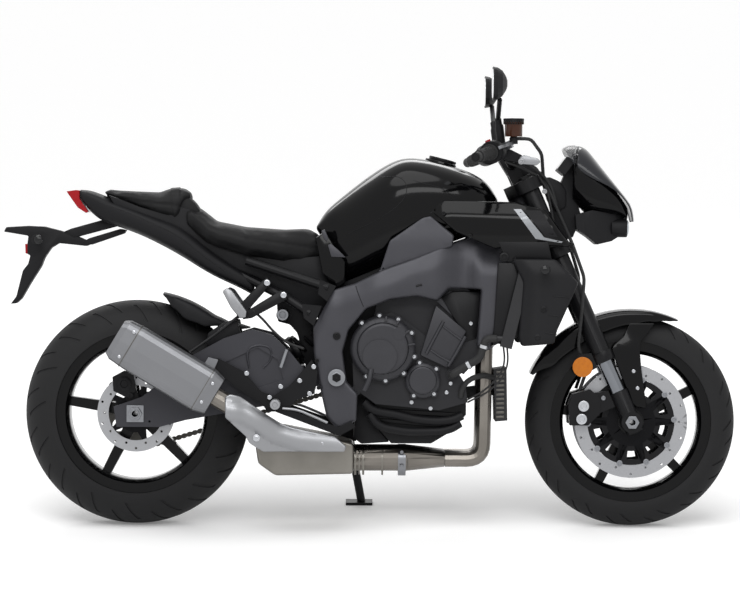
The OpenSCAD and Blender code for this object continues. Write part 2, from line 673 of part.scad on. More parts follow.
module brake_hoses() {
    run = [for (q = hose_run) fork_point(q[0], -q[1], q[2])];
    tee = hose_run[1];
    left = concat([fork_point(tee[0], -tee[1] + brake_hose_r + seat_gap, tee[2]), fork_point(tee[0], tee[1], tee[2])],
        [for (i = [2:len(hose_run) - 1]) let (q = hose_run[i]) fork_point(q[0], q[1], q[2])],
        [let (e = seen_3d(hose_end_px)) [e[0], -e[1], e[2]]]);
    color("#161617") {
        tube(rounded(concat([for (q = hose_top_px) seen_3d(q)], run, [seen_3d(hose_end_px)]), brake_hose_bend, 3),
            brake_hose_r, 8);
        tube(rounded(left, brake_hose_bend, 3), brake_hose_r, 8, [1, 0, 0]);
    }
}
reflector_px = [583, 366];
reflector_r = 28;
reflector_y = 118;
reflector_stay_px = [[578, 354], [606, 350], [606, 362], [584, 374]];
module reflectors() {
    at = seen(reflector_px, reflector_y);
    color("#c8670f") both() {
        cross_pin(at, reflector_r, -reflector_y - wall * 2, -reflector_y);
        difference() {
            plate(seen_all(reflector_stay_px, reflector_y), -reflector_y - overrun, -reflector_y + wall);
            at_fork() translate([0, -fork_half, 0]) cylinder(r = fork_r + wall + seat_gap, h = fork_top);
        }
    }
}

// Frame
head_tube_r = 36;
head_low = lower_yoke_at + yoke_thick + seat_gap;
head_high = top_yoke_at - seat_gap;
head_drop = 24;
spar_px = [[334, 290], [355, 283.6], [381, 270.7], [420, 256], [452, 243], [484, 232], [519, 217],
    [519, 258], [508, 266], [481.5, 281], [455, 279],
    [440, 300], [417, 296], [391, 299], [366, 309], [349, 330], [343, 352], [347, 382], [358, 394],
    [357, 421], [339, 432], [327, 418], [321, 392], [314, 355], [313.4, 327]];
// Plan view of one spar: how far its outside lies from the middle plane, as shares of half the width
spar_plan_px = [300, 335, 380, 430, 468, 497, 512, 525];
spar_plan_shares = [0.86, 0.9, 1, 0.96, 0.77, 0.62, 0.37, 0.33];
spar_thick = 42;
leg_spar_px = [[470, 262], [508, 262], [512, 276], [503, 312], [491, 350], [477, 346], [480, 310], [478, 281]];
leg_spar_in = 140.3;
side_panel_px = [[379, 273], [389.5, 240.5], [422, 217.5], [430.5, 215.5], [454, 235], [452, 245]];
side_panel_in = 160;
side_panel_thick = 7;
pivot_px = [336.9, 377.9];
frame_half = frame_w / 2;
pivot_at = seen(pivot_px, frame_half * 0.85);
pivot_r = 15;
module spar_plan() {
    outer = [for (i = [0:len(spar_plan_px) - 1])
        [seen_x(spar_plan_px[i], frame_half), spar_plan_shares[i] * frame_half]];
    inner = [for (i = [len(outer) - 1:-1:0]) outer[i] - [0, spar_thick]];
    linear_extrude(wheelbase) polygon(concat(outer, inner));
}
module frame_spars() {
    color("#4a4954") both() difference() {
        union() {
            intersection() {
                plate(seen_all(spar_px, frame_half), 0, frame_half + overrun);
                spar_plan();
            }
            plate(seen_all(leg_spar_px, frame_half), leg_spar_in, leg_spar_in + spar_thick);
            plate(seen_all(side_panel_px, frame_half), side_panel_in, side_panel_in + side_panel_thick);
        }
        cross_pin(pivot_at, pivot_r + run_gap, 0, frame_half * 2);
    }
}
wing_px = [[518, 217], [533, 203], [541, 215], [536, 240], [518, 258]];
module frame_head() {
    front_x = seen_x(spar_px[6][0], frame_half) + seat_gap;
    wing_half = frame_half * spar_plan_shares[7];
    color("#4a4954") difference() {
        union() {
            at_fork() translate([-fork_offset, 0, head_low]) cylinder(r = head_tube_r, h = head_high - head_low);
            intersection() {
                plate(seen_all(wing_px, frame_half), -frame_half, frame_half);
                linear_extrude(wheelbase) polygon([[front_x, -wing_half], [front_x + head_tube_r, -head_tube_r],
                    [front_x + head_tube_r * 2.2, 0], [front_x + head_tube_r, head_tube_r],
                    [front_x, wing_half]]);
            }
        }
        at_fork() translate([-fork_offset, 0, head_low - fork_top])
            cylinder(r = stem_r + run_gap, h = fork_top * 2);
        at_fork() translate([0, 0, head_high]) cylinder(r = frame_w, h = fork_top);
        at_fork() translate([0, 0, -fork_top + head_low]) cylinder(r = frame_w, h = fork_top);
    }
}

// Swingarm with its cross box and pivot barrel
arm_px = [[303, 368], [303, 388], [290, 402], [230, 413], [186, 421], [160, 428], [117, 428], [114, 408],
    [142, 398], [166, 380], [191, 357], [224, 339], [252, 330], [272, 335], [290, 352]];
arm_window_px = [[258, 348], [278, 360], [284, 380], [235, 396], [196, 400], [214, 368]];
cross_px = [[258, 367.5], [304, 367.5], [304, 388], [258, 390]];
web_px = [[300, 369], [337, 369], [337, 387], [300, 387]];
web_in = 58;
web_out = 118;
barrel_r = 26;
barrel_half = spar_plan_shares[0] * frame_half - spar_thick - seat_gap;
module swingarm() {
    color("#45444f") difference() {
        union() {
            both() difference() {
                plate(seen_all(arm_px, arm_out), arm_in, arm_out);
                plate(seen_all(arm_window_px, arm_out), arm_out - wall * 2, arm_out + overrun);
            }
            plate(seen_all(cross_px, arm_out), -arm_in - overrun, arm_in + overrun);
            both() plate(seen_all(web_px, arm_out), web_in, web_out);
            cross_pin(pivot_at, barrel_r, -barrel_half, barrel_half);
        }
        cross_pin(pivot_at, pivot_r + run_gap, -frame_w, frame_w);
        at_rear_axle() cross_pin([0, 0], axle_r + run_gap, -frame_w, frame_w);
        both() translate([seen_x(150, arm_out), arm_out - spool_depth, rear_r - spool_drop]) rotate([-90, 0, 0])
            cylinder(r = spool_r, h = spool_depth + overrun);
    }
}
spool_r = 3.4;
spool_depth = 24;
spool_drop = 22;
pivot_half = frame_half * 0.93;
module swingarm_pivot() {
    color("#8f9296") {
        cross_pin(pivot_at, pivot_r, -pivot_half, pivot_half);
        both() cross_pin(pivot_at, pivot_r * 1.5, pivot_half - overrun, pivot_half + wall * 2, $fn = 6);
    }
}

// Rear mudguard over the tyre, with flanges that sit on the arms
hug_gap = 19;
hug_r = rear_r + hug_gap;
hug_half = 106;
hug_from = 50;
hug_sweep = 30;
hug_skirt = 46;
hug_flange_px = [[206, 356], [226, 350], [232, 318], [208, 314], [202, 330]];
module rear_mudguard() {
    color("#151517") {
        at_rear_axle() revolve_y(hug_from, hug_sweep) polygon([[hug_r, -hug_half * 0.6], [hug_r, hug_half * 0.6],
            [hug_r - hug_skirt * 0.4, hug_half], [hug_r - hug_skirt, hug_half], [hug_r - hug_skirt, hug_half + wall],
            [hug_r - hug_skirt * 0.4, hug_half + wall], [hug_r + wall, hug_half * 0.62],
            [hug_r + wall, -hug_half * 0.62], [hug_r - hug_skirt * 0.4, -hug_half - wall],
            [hug_r - hug_skirt, -hug_half - wall], [hug_r - hug_skirt, -hug_half],
            [hug_r - hug_skirt * 0.4, -hug_half]]);
        both() difference() {
            plate(seen_all(hug_flange_px, arm_out), hug_half + wall * 0.5, arm_in + wall * 4);
            plate(seen_all(arm_px, arm_out), arm_in - seat_gap, arm_out);
        }
    }
}

// Rear shock, lying under the seat between the frame and the swingarm
shock_low_px = [284, 360.3];
shock_high_px = [336, 320];
shock_bar_half = spar_plan_shares[0] * frame_half - spar_thick + wall;
spring_r = 42;
spring_wire_r = 6.5;
spring_turns = 5;
spring_steps = 10;
module shock() {
    low = seen(shock_low_px);
    high = seen(shock_high_px);
    run = norm(high - low);
    slope = atan2(high[1] - low[1], high[0] - low[0]);
    color("#26262a") translate([low[0], 0, low[1]]) rotate([0, 90 - slope, 0]) {
        cylinder(r = spring_r * 0.45, h = run);
        translate([0, 0, run * 0.2]) cylinder(r = spring_r + wall, h = spring_wire_r * 2.4);
        translate([0, 0, run * 0.84]) cylinder(r = spring_r + wall, h = run * 0.16);
        tube([for (i = [0:spring_turns * spring_steps]) let (a = 360 * i / spring_steps)
            [(spring_r - spring_wire_r) * cos(a), (spring_r - spring_wire_r) * sin(a),
                run * 0.2 + spring_wire_r * 1.2 + run * 0.66 * i / spring_turns / spring_steps]],
            spring_wire_r, 8, [0, 0, 1]);
        translate([0, 0, run * 0.9]) rotate([90, 0, 0]) cylinder(r = spring_r * 0.4, h = shock_bar_half * 2, center = true);
    }
}

// Rear subframe rails and the passenger peg hangers
rail_r = 13;
rail_y = 120;
rail_front_y = 152;
rail_rear_y = [120, 84];
rail_px = [[[246, 261], [292, 276], [329, 288]], [[237.2, 274], [288, 299], [311, 314]]];
rail_foot_px = [[[320, 280], [336, 286], [328, 302], [318, 294]], [[302, 304], [322, 306], [314, 326], [304, 318]]];
hanger_px = [[262, 279], [272, 277], [288, 292], [286, 301], [262, 306], [244, 316], [236, 312], [240, 303]];
hanger_thick = 10;
box_under_px = [[236.2, 270], [250, 268.5], [292, 281], [322, 290], [316, 308], [288, 296], [236.2, 279]];
box_under_half = 70;
peg_r = 13;
peg_len = 88;
pillion_peg_px = [243, 309];
module subframe() {
    color("#2a2a2e") plate(seen_all(box_under_px), -box_under_half, box_under_half);
    color("#2a2a2e") both() {
        for (k = [0, 1]) {
            tube([for (i = [0:2]) let (p = seen(rail_px[k][i], rail_y))
                [p[0], [rail_rear_y[k], rail_y, rail_front_y][i], p[1]]], rail_r, 12);
            difference() {
                plate(seen_all(rail_foot_px[k], rail_y), rail_front_y - rail_r, rail_front_y + rail_r * 0.6);
                plate(seen_all(spar_px, frame_half), 0, frame_w);
            }
        }
    }
}
module pillion_hangers() {
    at = seen(pillion_peg_px, rail_y);
    color("#6f6f78") both() {
        plate(seen_all(hanger_px, rail_y), rail_y + rail_r, rail_y + rail_r + hanger_thick);
        cross_pin(at, peg_r, rail_y + rail_r + hanger_thick - overrun, rail_y + rail_r + hanger_thick + peg_len);
    }
}
rider_px = [[312, 360], [318, 372], [315, 394], [298, 400], [284, 412], [268, 412], [262, 404], [244, 394],
    [213, 369], [212, 361], [219, 359], [244, 372], [262, 392], [274, 396], [290, 386], [302, 372]];
rider_in_share = 0.8815;
rider_in = frame_half * rider_in_share + seat_gap;
rider_thick = 9;
rider_peg_px = [276, 404];
pedal_pin_px = [280, 409];
pedal_px = [[276, 412], [284, 408], [338, 427], [352, 421], [356, 427], [340, 436]];
module rider_hangers() {
    at = seen(rider_peg_px, rider_in);
    color("#2d2d31") both() {
        plate(seen_all(rider_px, rider_in), rider_in, rider_in + rider_thick);
        cross_pin(at, peg_r, rider_in + rider_thick - overrun, rider_in + rider_thick + peg_len);
        plate(seen_all(pedal_px, rider_in), rider_in + rider_thick * 1.4, rider_in + rider_thick * 2.2);
        cross_pin(seen(pedal_pin_px, rider_in), peg_r * 0.7, rider_in + overrun, rider_in + rider_thick * 2.4);
    }
}

// Engine
crankcase_px = [[352, 345], [362, 322], [392, 312], [408, 322], [446, 352], [466, 384], [468, 402], [440, 410],
    [376, 404], [354, 388]];
cylinder_px = [[374, 318], [380, 288], [396, 269], [418, 261], [436, 255], [458, 284], [470, 290], [466, 330],
    [452, 358], [400, 330]];
cylinder_half_share = 0.88;
gear_pocket_px = [[340, 300], [394, 320], [394, 396], [340, 410]];
gear_pocket_y = 88;
drive_shaft_r = 12;
crank_half = crankcase_w / 2;
cylinder_half = crank_half * cylinder_half_share;
port_px = [452, 330];
engine_lug_px = [[440, 354], [452, 346], [478, 338], [488, 341], [486, 350], [464, 374], [448, 364]];
engine_lug_in = 132;
engine_boss_px = [356, 391];
engine_boss_r = 14;
engine_boss_share = 0.932;
pump_px = [452, 374];
pump_r = 15;
pump_len = 16;
module engine_block() {
    color("#3d3c45") {
        difference() {
            plate(seen_all(crankcase_px, crank_half), -crank_half, crank_half);
            plate(seen_all(gear_pocket_px, crank_half), gear_pocket_y, crank_half + overrun);
        }
        plate(seen_all(cylinder_px, crank_half), -cylinder_half, cylinder_half);
        cross_pin(drive_at, drive_shaft_r - seat_gap, gear_pocket_y - overrun, chain_y + sprocket_thick);
        both() plate(seen_all(engine_lug_px, crank_half), engine_lug_in, leg_spar_in - seat_gap);
        mirror([0, 1, 0]) {
            cross_pin(seen(engine_boss_px, crank_half), engine_boss_r, crank_half - overrun,
                frame_half * engine_boss_share - spar_thick);
            cross_pin(seen(pump_px, crank_half), pump_r, crank_half - overrun, crank_half + pump_len);
        }
        for (i = [0:3]) translate([seen_x(port_px[0], crank_half), (i - 1.5) * port_pitch, seen(port_px, crank_half)[1]])
            rotate([0, 90, 0]) cylinder(r = header_r + wall, h = seen_x(pipe_px[0][0], crank_half)
                - seen_x(port_px[0], crank_half) - seat_gap);
    }
}
clutch_px = [383, 348];
clutch_r = 92;
// Bolt lugs round a cover, as angles of the side view
clutch_lugs = [-50, -15, 28, 62, 96, 130, -85, -120];
starter_lugs = [40, 100, -120, -50];
lug_r = 9;
lug_depth_share = 0.42;
dome_px = [380, 356];
dome_r = 48;
filler_px = [399, 333];
filler_r = 18;
dome_share = 1.1;
filler_share = 1.02;
// Cam chain cover of the cylinder head, and the two ribs of the cylinder
head_cover_px = [[437, 301], [450, 291], [481, 291], [479, 306], [474, 319], [456, 319]];
head_cover_thick = 11;
barrel_px = [[429, 335], [438, 318], [451, 326], [450.5, 344], [446, 346]];
barrel_thick = 5;
rib_px = [[[429, 335], [438, 318], [442, 320.5], [433, 338]], [[442, 345], [447.5, 324], [451, 326], [446, 346]]];
rib_thick = 12;
starter_px = [423, 380];
starter_r = 50;
rotor_px = [432, 374];
rotor_r = 80;
sprocket_cover_px = [[352, 350], [366, 334], [394, 340], [394, 366], [382, 390], [358, 388]];
module cover(px, r, depth, lugs) {
    at = seen(px, crank_half);
    translate([at[0], 0, at[1]]) rotate([90, 0, 0]) translate([0, 0, crank_half]) {
        rotate_extrude($fn = 64) polygon([[0, 0], [r, 0], [r, depth * 0.45], [r * 0.92, depth * 0.62],
            [r * 0.8, depth * 0.7], [r * 0.76, depth * 0.96], [r * 0.7, depth], [0, depth]]);
        for (a = lugs) rotate([0, 0, a]) translate([r, 0, 0]) cylinder(r = lug_r, h = depth * lug_depth_share, $fn = 24);
    }
}
module engine_covers() {
    color("#34333b") {
        cover(clutch_px, clutch_r, cover_depth, clutch_lugs);
        mirror([0, 1, 0]) {
            cross_pin(seen(dome_px, crank_half), dome_r, crank_half, crank_half + cover_depth * dome_share);
            cross_pin(seen(filler_px, crank_half), filler_r, crank_half, crank_half + cover_depth * filler_share);
            cover(rotor_px, rotor_r, cover_depth, starter_lugs);
        }
        cover(starter_px, starter_r, cover_depth * 0.6, starter_lugs);
        plate(seen_all(sprocket_cover_px, crank_half), chain_y + chain_inner_w * 2, crank_half);
        both() {
            plate(seen_all(head_cover_px, crank_half), cylinder_half + seat_gap, cylinder_half + head_cover_thick);
            plate(seen_all(barrel_px, crank_half), cylinder_half + seat_gap, cylinder_half + barrel_thick);
            for (r = rib_px) plate(seen_all(r, crank_half), cylinder_half + seat_gap, cylinder_half + rib_thick);
        }
    }
}
sump_px = [[376, 404.2], [440, 410.2], [467, 402.6], [467, 415], [452, 432], [432, 444], [392, 444], [376, 426]];
sump_half_share = 0.72;
sump_rib_px = [[[380, 409], [458, 413], [456, 417], [380, 413]], [[380, 419], [448, 424], [444, 428], [382, 423]],
    [[386, 430], [436, 434], [430, 438], [390, 434]]];
sump_rib_h = 7;
module oil_pan() {
    half = crank_half * sump_half_share;
    color("#3d3c45") {
        plate(seen_all(sump_px, crank_half), -half, half);
        for (r = sump_rib_px) plate(seen_all(r, crank_half), -half - sump_rib_h, half + sump_rib_h);
    }
}

// Cooling
radiator_px = [516, 307.9];
radiator_h = 222;
radiator_thick = 34;
core_thick = 24;
fin_count = 15;
fin_depth = 6;
radiator_tilt = -14;
tank_end_w = 26;
shroud_px = [[512, 258], [556, 258.5], [579, 282], [557, 331], [555, 343], [522, 346], [519, 337], [523.5, 282]];
shroud_thick = 26;
shroud_half = shroud_w / 2;
radiator_half = shroud_half - shroud_thick - seat_gap;
radiator_stay_px = [[500, 284], [524, 282], [522, 292], [500, 298]];
radiator_stay_w = 12;
cooler_stay_px = [[466.7, 388], [497, 384], [497, 396], [468, 400]];
cooler_stay_half = 5;
cooler_px = [[494, 369], [507, 367], [508, 420], [496, 421]];
cooler_half = 96;
hose_r = 11;
spigot_r = 9;
spigot_px = [[497, 338], [505, 338]];
spigot_y = -197;
hose_px = [[452.35, 374.45, -180], [464, 367, -184], [480, 358, -192], [486, 338, -197]];
hose_bend = 14;
module radiator() {
    at = seen(radiator_px, radiator_half);
    color("#1d1d1f") {
        translate([at[0], 0, at[1]]) rotate([0, -radiator_tilt, 0]) {
            difference() {
                cube([core_thick, radiator_half * 2, radiator_h], center = true);
                for (i = [0:fin_count - 1])
                    translate([core_thick / 2, 0, radiator_h * (i + 0.5 - fin_count / 2) / fin_count])
                        cube([fin_depth, (radiator_half - tank_end_w) * 2 - wall, radiator_h / fin_count / 2], center = true);
            }
            both() translate([0, radiator_half - tank_end_w / 2, 0])
                cube([radiator_thick, tank_end_w, radiator_h + wall * 2], center = true);
        }
        both() difference() {
            plate(seen_all(radiator_stay_px, frame_half), leg_spar_in, leg_spar_in + radiator_stay_w);
            plate(seen_all(leg_spar_px, frame_half), 0, frame_w);
        }
        translate([seen_x(spigot_px[0][0], spigot_y), spigot_y, seen(spigot_px[0], spigot_y)[1]]) rotate([0, 90, 0])
            cylinder(r = spigot_r, h = seen_x(spigot_px[1][0], spigot_y) - seen_x(spigot_px[0][0], spigot_y));
        plate(seen_all(cooler_px, cooler_half), -cooler_half, cooler_half);
        plate(seen_all(cooler_stay_px, crank_half), -cooler_stay_half, cooler_stay_half);
    }
}
module coolant_hoses() {
    from = seen(pump_px, crank_half);
    to = seen(spigot_px[0], spigot_y);
    color("#1d1d1f") tube(rounded(concat([[from[0], -crank_half - pump_len - seat_gap, from[1]]],
        [for (q = hose_px) seen_3d(q)], [[to[0] - seat_gap, spigot_y, to[1]]]), hose_bend, 4), hose_r, 12, [0, 0, 1]);
}
module radiator_shrouds() {
    color("#1b1b1d") both() plate(seen_all(shroud_px, shroud_half), shroud_half - shroud_thick, shroud_half);
}
// Exhaust
pipe_px = [[467.6, 330], [486, 330], [484, 460], [446, 460]];
header_bend = 46;
header_r = header_d / 2;
port_pitch = 72;
merge_pitch = 50;
collector_px = [[446, 460], [408, 460], [354, 459]];
collector_r = 38;
box_px = [[256, 446], [282, 428], [334, 438], [354, 444], [354, 474], [276, 476], [259, 464]];
box_from = -150;
box_to = 128;
module exhaust_headers() {
    c = [for (p = collector_px) seen(p, crank_half)];
    wide = merge_pitch * 1.5 + header_r + wall;
    color("#8d7a66") {
        for (i = [0:3]) let (port_y = (i - 1.5) * port_pitch, low_y = (i - 1.5) * merge_pitch,
            s = [for (p = pipe_px) seen(p, crank_half)])
            tube(rounded([[s[0][0], port_y, s[0][1]], [s[1][0], port_y, s[1][1]], [s[2][0], low_y, s[2][1]],
                [s[3][0], low_y, s[3][1]]], header_bend, 6), header_r, 12);
        loft([for (st = [[c[2][0] + seat_gap, collector_r, collector_r], [c[1][0], collector_r * 1.1, collector_r],
            [c[0][0] - seat_gap, wide, header_r + wall]]) ring_x(st[0], c[1][1], st[1], st[2], st[2], 2.4)]);
    }
}
module exhaust_box() {
    color("#8d8377") plate(seen_all(box_px, crank_half), box_from, box_to);
}
shield_px = [[226, 399], [231, 396], [278, 422.5], [335, 437.6], [348, 448], [345, 453], [263, 452],
    [251, 440], [226, 416]];
// Plan view of the heat shield: its distance from the middle plane along the machine
shield_plan_px = [222, 236, 250, 290, 352];
shield_plan = [-274, -273, -263, -236, -228];
shield_pin_px = [250, 423];
shield_pin_r = 9;
shield_thick = 4;
link_px = [290, 444];
link_y = -198;
link_r = 27;
link_bend = 40;
link_straight = 62;
module exhaust_link() {
    start = seen(link_px, link_y);
    back = seen(can_px[0], can_y);
    front = seen(can_px[1], can_y);
    way = unit(front - back);
    enter = front + way * link_straight;
    end = front + way * seat_gap;
    color("#8d8377") tube(rounded([[start[0], box_from - seat_gap, start[1]], [start[0], link_y, start[1]],
        [enter[0], can_y, enter[1]], [end[0], can_y, end[1]]], link_bend), link_r, 14, [0, 0, 1]);
}
module exhaust_shield() {
    outer = [for (i = [0:len(shield_plan) - 1]) [seen_x(shield_plan_px[i], link_y), shield_plan[i]]];
    inner = [for (i = [len(outer) - 1:-1:0]) outer[i] + [0, shield_thick]];
    color("#b7b9bb") {
        intersection() {
            plate(seen_all(shield_px, link_y), -wheelbase, 0);
            linear_extrude(wheelbase) polygon(concat(outer, inner));
        }
        cross_pin(seen(shield_pin_px, link_y), shield_pin_r, shield_plan[2], shield_plan[2] + shield_thick * 2.4);
    }
}
can_px = [[116, 338], [215, 397]];
can_h = 132;
can_y = -238;
can_len_shares = [0, 0.05, 0.2, 0.9, 1];
can_size_shares = [0.8, 0.95, 1, 1, 0.86];
can_edge = 5;
tab_px = [[203, 367], [208, 358.5], [218, 361], [213, 373]];
tab_in = -186;
tab_thick = 8;
module muffler() {
    back = seen(can_px[0], can_y);
    front = seen(can_px[1], can_y);
    run = norm(front - back);
    color("#77777a") translate([back[0], can_y, back[1]]) rotate([0, atan2(back[1] - front[1], front[0] - back[0]), 0])
        loft([for (i = [0:len(can_len_shares) - 1])
            ring_x(run * can_len_shares[i], 0, can_w / 2 * can_size_shares[i], can_h / 2 * can_size_shares[i],
                can_h / 2 * can_size_shares[i], can_edge, 20)]);
    color("#77777a") plate(seen_all(tab_px, can_y), tab_in - tab_thick, tab_in);
}

// Bodywork
tank_px = [[317, 226, 230], [324, 214, 242], [331, 207.5, 253], [338, 201.5, 284], [355, 187, 281.5],
    [375, 172, 271.5], [393, 161, 264.5], [408, 157, 259], [435, 161, 248], [460, 168.5, 238], [478, 176, 232],
    [489, 185, 227], [496, 198, 221]];
tank_shares = [0.42, 0.5, 0.58, 0.66, 0.78, 0.9, 0.98, 1, 0.97, 0.9, 0.8, 0.66, 0.44];
tank_half = tank_w / 2;
tank_edge = 2.7;
module fuel_tank() {
    color("#0c0c0d") {
        body_loft(tank_px, tank_shares, tank_half, tank_edge, 0, tank_half);
        at_cap() translate([0, 0, -cap_r]) cylinder(r = cap_r + cap_h, h = cap_r + cap_boss_h - seat_gap);
    }
}
scoop_px = [[429, 209], [444, 199.5], [516, 201.5], [545, 209], [573, 245.5], [494, 248], [456, 232]];
scoop_tank_px = [455, 204];
scoop_tank_share = 0.93;
scoop_spar_px = [490, 242];
scoop_spar_share = 0.676;
scoop_boss_r = 10;
scoop_in = 158;
scoop_thick = 34;
module tank_covers() {
    color("#0b0b0c") both() {
        plate(seen_all(scoop_px, scoop_in + scoop_thick), scoop_in, scoop_in + scoop_thick);
        cross_pin(seen(scoop_tank_px, tank_half), scoop_boss_r, tank_half * scoop_tank_share, scoop_in + overrun);
        cross_pin(seen(scoop_spar_px, tank_half), scoop_boss_r, frame_half * scoop_spar_share, scoop_in + overrun);
    }
}
cap_px = [440, 163];
cap_r = 36;
cap_h = 9;
cap_boss_h = 5;
cap_tilt = 14;
module at_cap() {
    at = seen(cap_px);
    translate([at[0], 0, at[1]]) rotate([0, cap_tilt, 0]) children();
}
module fuel_cap() {
    color("#2b2b2e") at_cap() translate([0, 0, cap_boss_h]) {
        cylinder(r = cap_r, h = cap_h);
        cross_pin([cap_r + cap_h * 0.3, cap_h / 2], cap_h * 0.45, -cap_r * 0.3, cap_r * 0.3);
    }
}
seat_px = [[187, 207, 226], [195, 205, 234], [206, 214, 243], [217, 223, 247.5], [246, 228.5, 256],
    [284, 231, 263], [303, 230, 266], [317.6, 231.5, 262], [325.1, 244, 259], [331.2, 253.5, 256]];
seat_shares = [0.7, 0.78, 0.9, 0.98, 1, 0.84, 0.7, 0.6, 0.54, 0.48];
module rider_seat() {
    color("#1b1b1c") body_loft(seat_px, seat_shares, seat_w / 2, 3);
}
pillion_px = [[103, 191, 196.3], [118, 192.3, 202.8], [140, 193.3, 210.7], [160, 194, 218.2], [169, 190.5, 221.1],
    [178, 189.6, 224], [186, 190, 204], [193, 192, 201]];
pillion_shares = [0.62, 0.76, 0.92, 1, 1, 0.98, 0.94, 0.84];
module pillion_seat() {
    color("#1b1b1c") body_loft(pillion_px, pillion_shares, pillion_w / 2, 3);
}
tail_px = [[81, 191.5, 200], [90, 191.8, 213], [103, 196.5, 223], [120, 204, 228], [140, 211, 235],
    [160, 218.5, 244.5], [183, 226, 257], [206, 246, 272], [222, 257, 280], [236, 268, 286]];
tail_shares = [0.6, 0.66, 0.76, 0.84, 0.92, 0.97, 1, 0.96, 0.9, 0.84];
module tail_cowl() {
    color("#1f1f21") body_loft(tail_px, tail_shares, tail_w / 2, 3.4);
}
lamp_tail_px = [[67.5, 193], [77, 191.6], [80.7, 192], [80.7, 200.3], [89.6, 213.4], [87, 214.5], [78.7, 209]];
lamp_tail_half = 62;
module tail_lamp() {
    color("#8c1016") plate(seen_all(lamp_tail_px), -lamp_tail_half, lamp_tail_half);
}
bracket_px = [[2.5, 234], [7, 228.5], [24, 226.5], [46, 227], [70, 233], [93, 216], [104, 224.2], [98, 246],
    [54, 246], [42, 262], [34, 275], [17, 304.5], [10, 306], [26.5, 240]];
bracket_half = 32;
module plate_bracket() {
    color("#18181a") plate(seen_all(bracket_px, bracket_half), -bracket_half, bracket_half);
}
signal_px = [38, 241];
signal_len = 92;
signal_r = 13;
front_signal_px = [545, 269];
module signals() {
    at = seen(signal_px, bracket_half);
    front = seen(front_signal_px, shroud_half);
    color("#b5540f") both() {
        translate([at[0], bracket_half + seat_gap, at[1]]) rotate([-90, 0, 0])
            cylinder(r1 = signal_r * 0.6, r2 = signal_r, h = signal_len);
        translate([front[0], shroud_half + seat_gap, front[1]]) rotate([-90, 0, 0])
            cylinder(r1 = signal_r * 0.6, r2 = signal_r, h = signal_len * 0.8);
    }
}
rear_caliper_px = [[114, 392], [113, 378], [124, 372], [134, 376], [137, 392], [128, 399]];
rear_caliper_in = 84;
rear_caliper_out = 140;
module rear_caliper() {
    color("#19191b") difference() {
        union() {
            plate(seen_all(rear_caliper_px, arm_in), -rear_caliper_out, -rear_caliper_in);
            plate(concat(seen_all([[122, 390], [136, 390], [146, 412], [132, 414]], arm_in)), -arm_in + seat_gap,
                -rear_disc_y - disc_thick - pad_gap);
        }
        at_rear_axle() revolve_y() polygon([[0, -rear_disc_y - pad_gap - disc_thick / 2],
            [rear_disc_r + pad_gap, -rear_disc_y - pad_gap - disc_thick / 2],
            [rear_disc_r + pad_gap, -rear_disc_y + pad_gap + disc_thick / 2],
            [0, -rear_disc_y + pad_gap + disc_thick / 2]]);
        at_rear_axle() cross_pin([0, 0], wheel_spacer_r + seat_gap, -frame_w, frame_w);
    }
}

// Side stand: the leg turns on a pin square to it, so it folds back along the machine
stand_px = [349, 437];
stand_y = 174;
stand_ahead = 40;
stand_r = 12;
foot_l = 78;
foot_w = 52;
foot_thick = 8;
pin_r = 7;
eye_r = 20;
eye_thick = 14;
stand_at = let (p = seen(stand_px, stand_y)) [p[0], stand_y, p[1]];
stand_foot = [stand_at[0] + stand_ahead, stand_reach, floor_z(stand_reach)];
stand_splay = atan2(stand_foot[1] - stand_at[1], stand_at[2] - stand_foot[2]);
stand_drop = norm([stand_foot[1] - stand_at[1], stand_at[2] - stand_foot[2]]);
stand_kick = atan2(stand_ahead, stand_drop);
stand_len = norm([stand_ahead, stand_drop]) - foot_thick * 0.6;
// Frame at the pin: Y along the pin, Z up the leg's plane
module at_stand() { translate(stand_at) rotate([stand_splay, 0, 0]) children(); }
module side_stand() {
    color("#1c1c1e") {
        at_stand() {
            difference() {
                cross_pin([0, 0], eye_r, -eye_thick / 2, eye_thick / 2);
                cross_pin([0, 0], pin_r + run_gap, -eye_thick, eye_thick);
            }
            rotate([0, -stand_kick, 0]) translate([0, 0, -stand_len])
                cylinder(r = stand_r, h = stand_len - eye_r * 0.7);
        }
        translate(stand_foot) rotate([lean, 0, 0]) translate([-foot_l * 0.6, -foot_w / 2, 0])
            cube([foot_l, foot_w, foot_thick]);
    }
}
lug_px = [[336, 415], [354, 412], [358, 424], [357, 446], [343, 448], [338, 430]];
lug_in = 136;
lug_out = 152;
module stand_lug() {
    color("#2d2d31") {
        at_stand() {
            cross_pin([0, 0], pin_r, -eye_thick * 2.6, eye_thick / 2 + wall);
            cross_pin([0, 0], eye_r * 0.62, -eye_thick * 2.6, -eye_thick / 2 - seat_gap);
            cross_pin([0, 0], pin_r + wall, eye_thick / 2 + seat_gap, eye_thick / 2 + wall * 2);
        }
        difference() {
            plate(seen_all(lug_px, lug_out), lug_in, lug_out);
            plate(seen_all(spar_px, frame_half), 0, frame_half * 2);
        }
    }
}

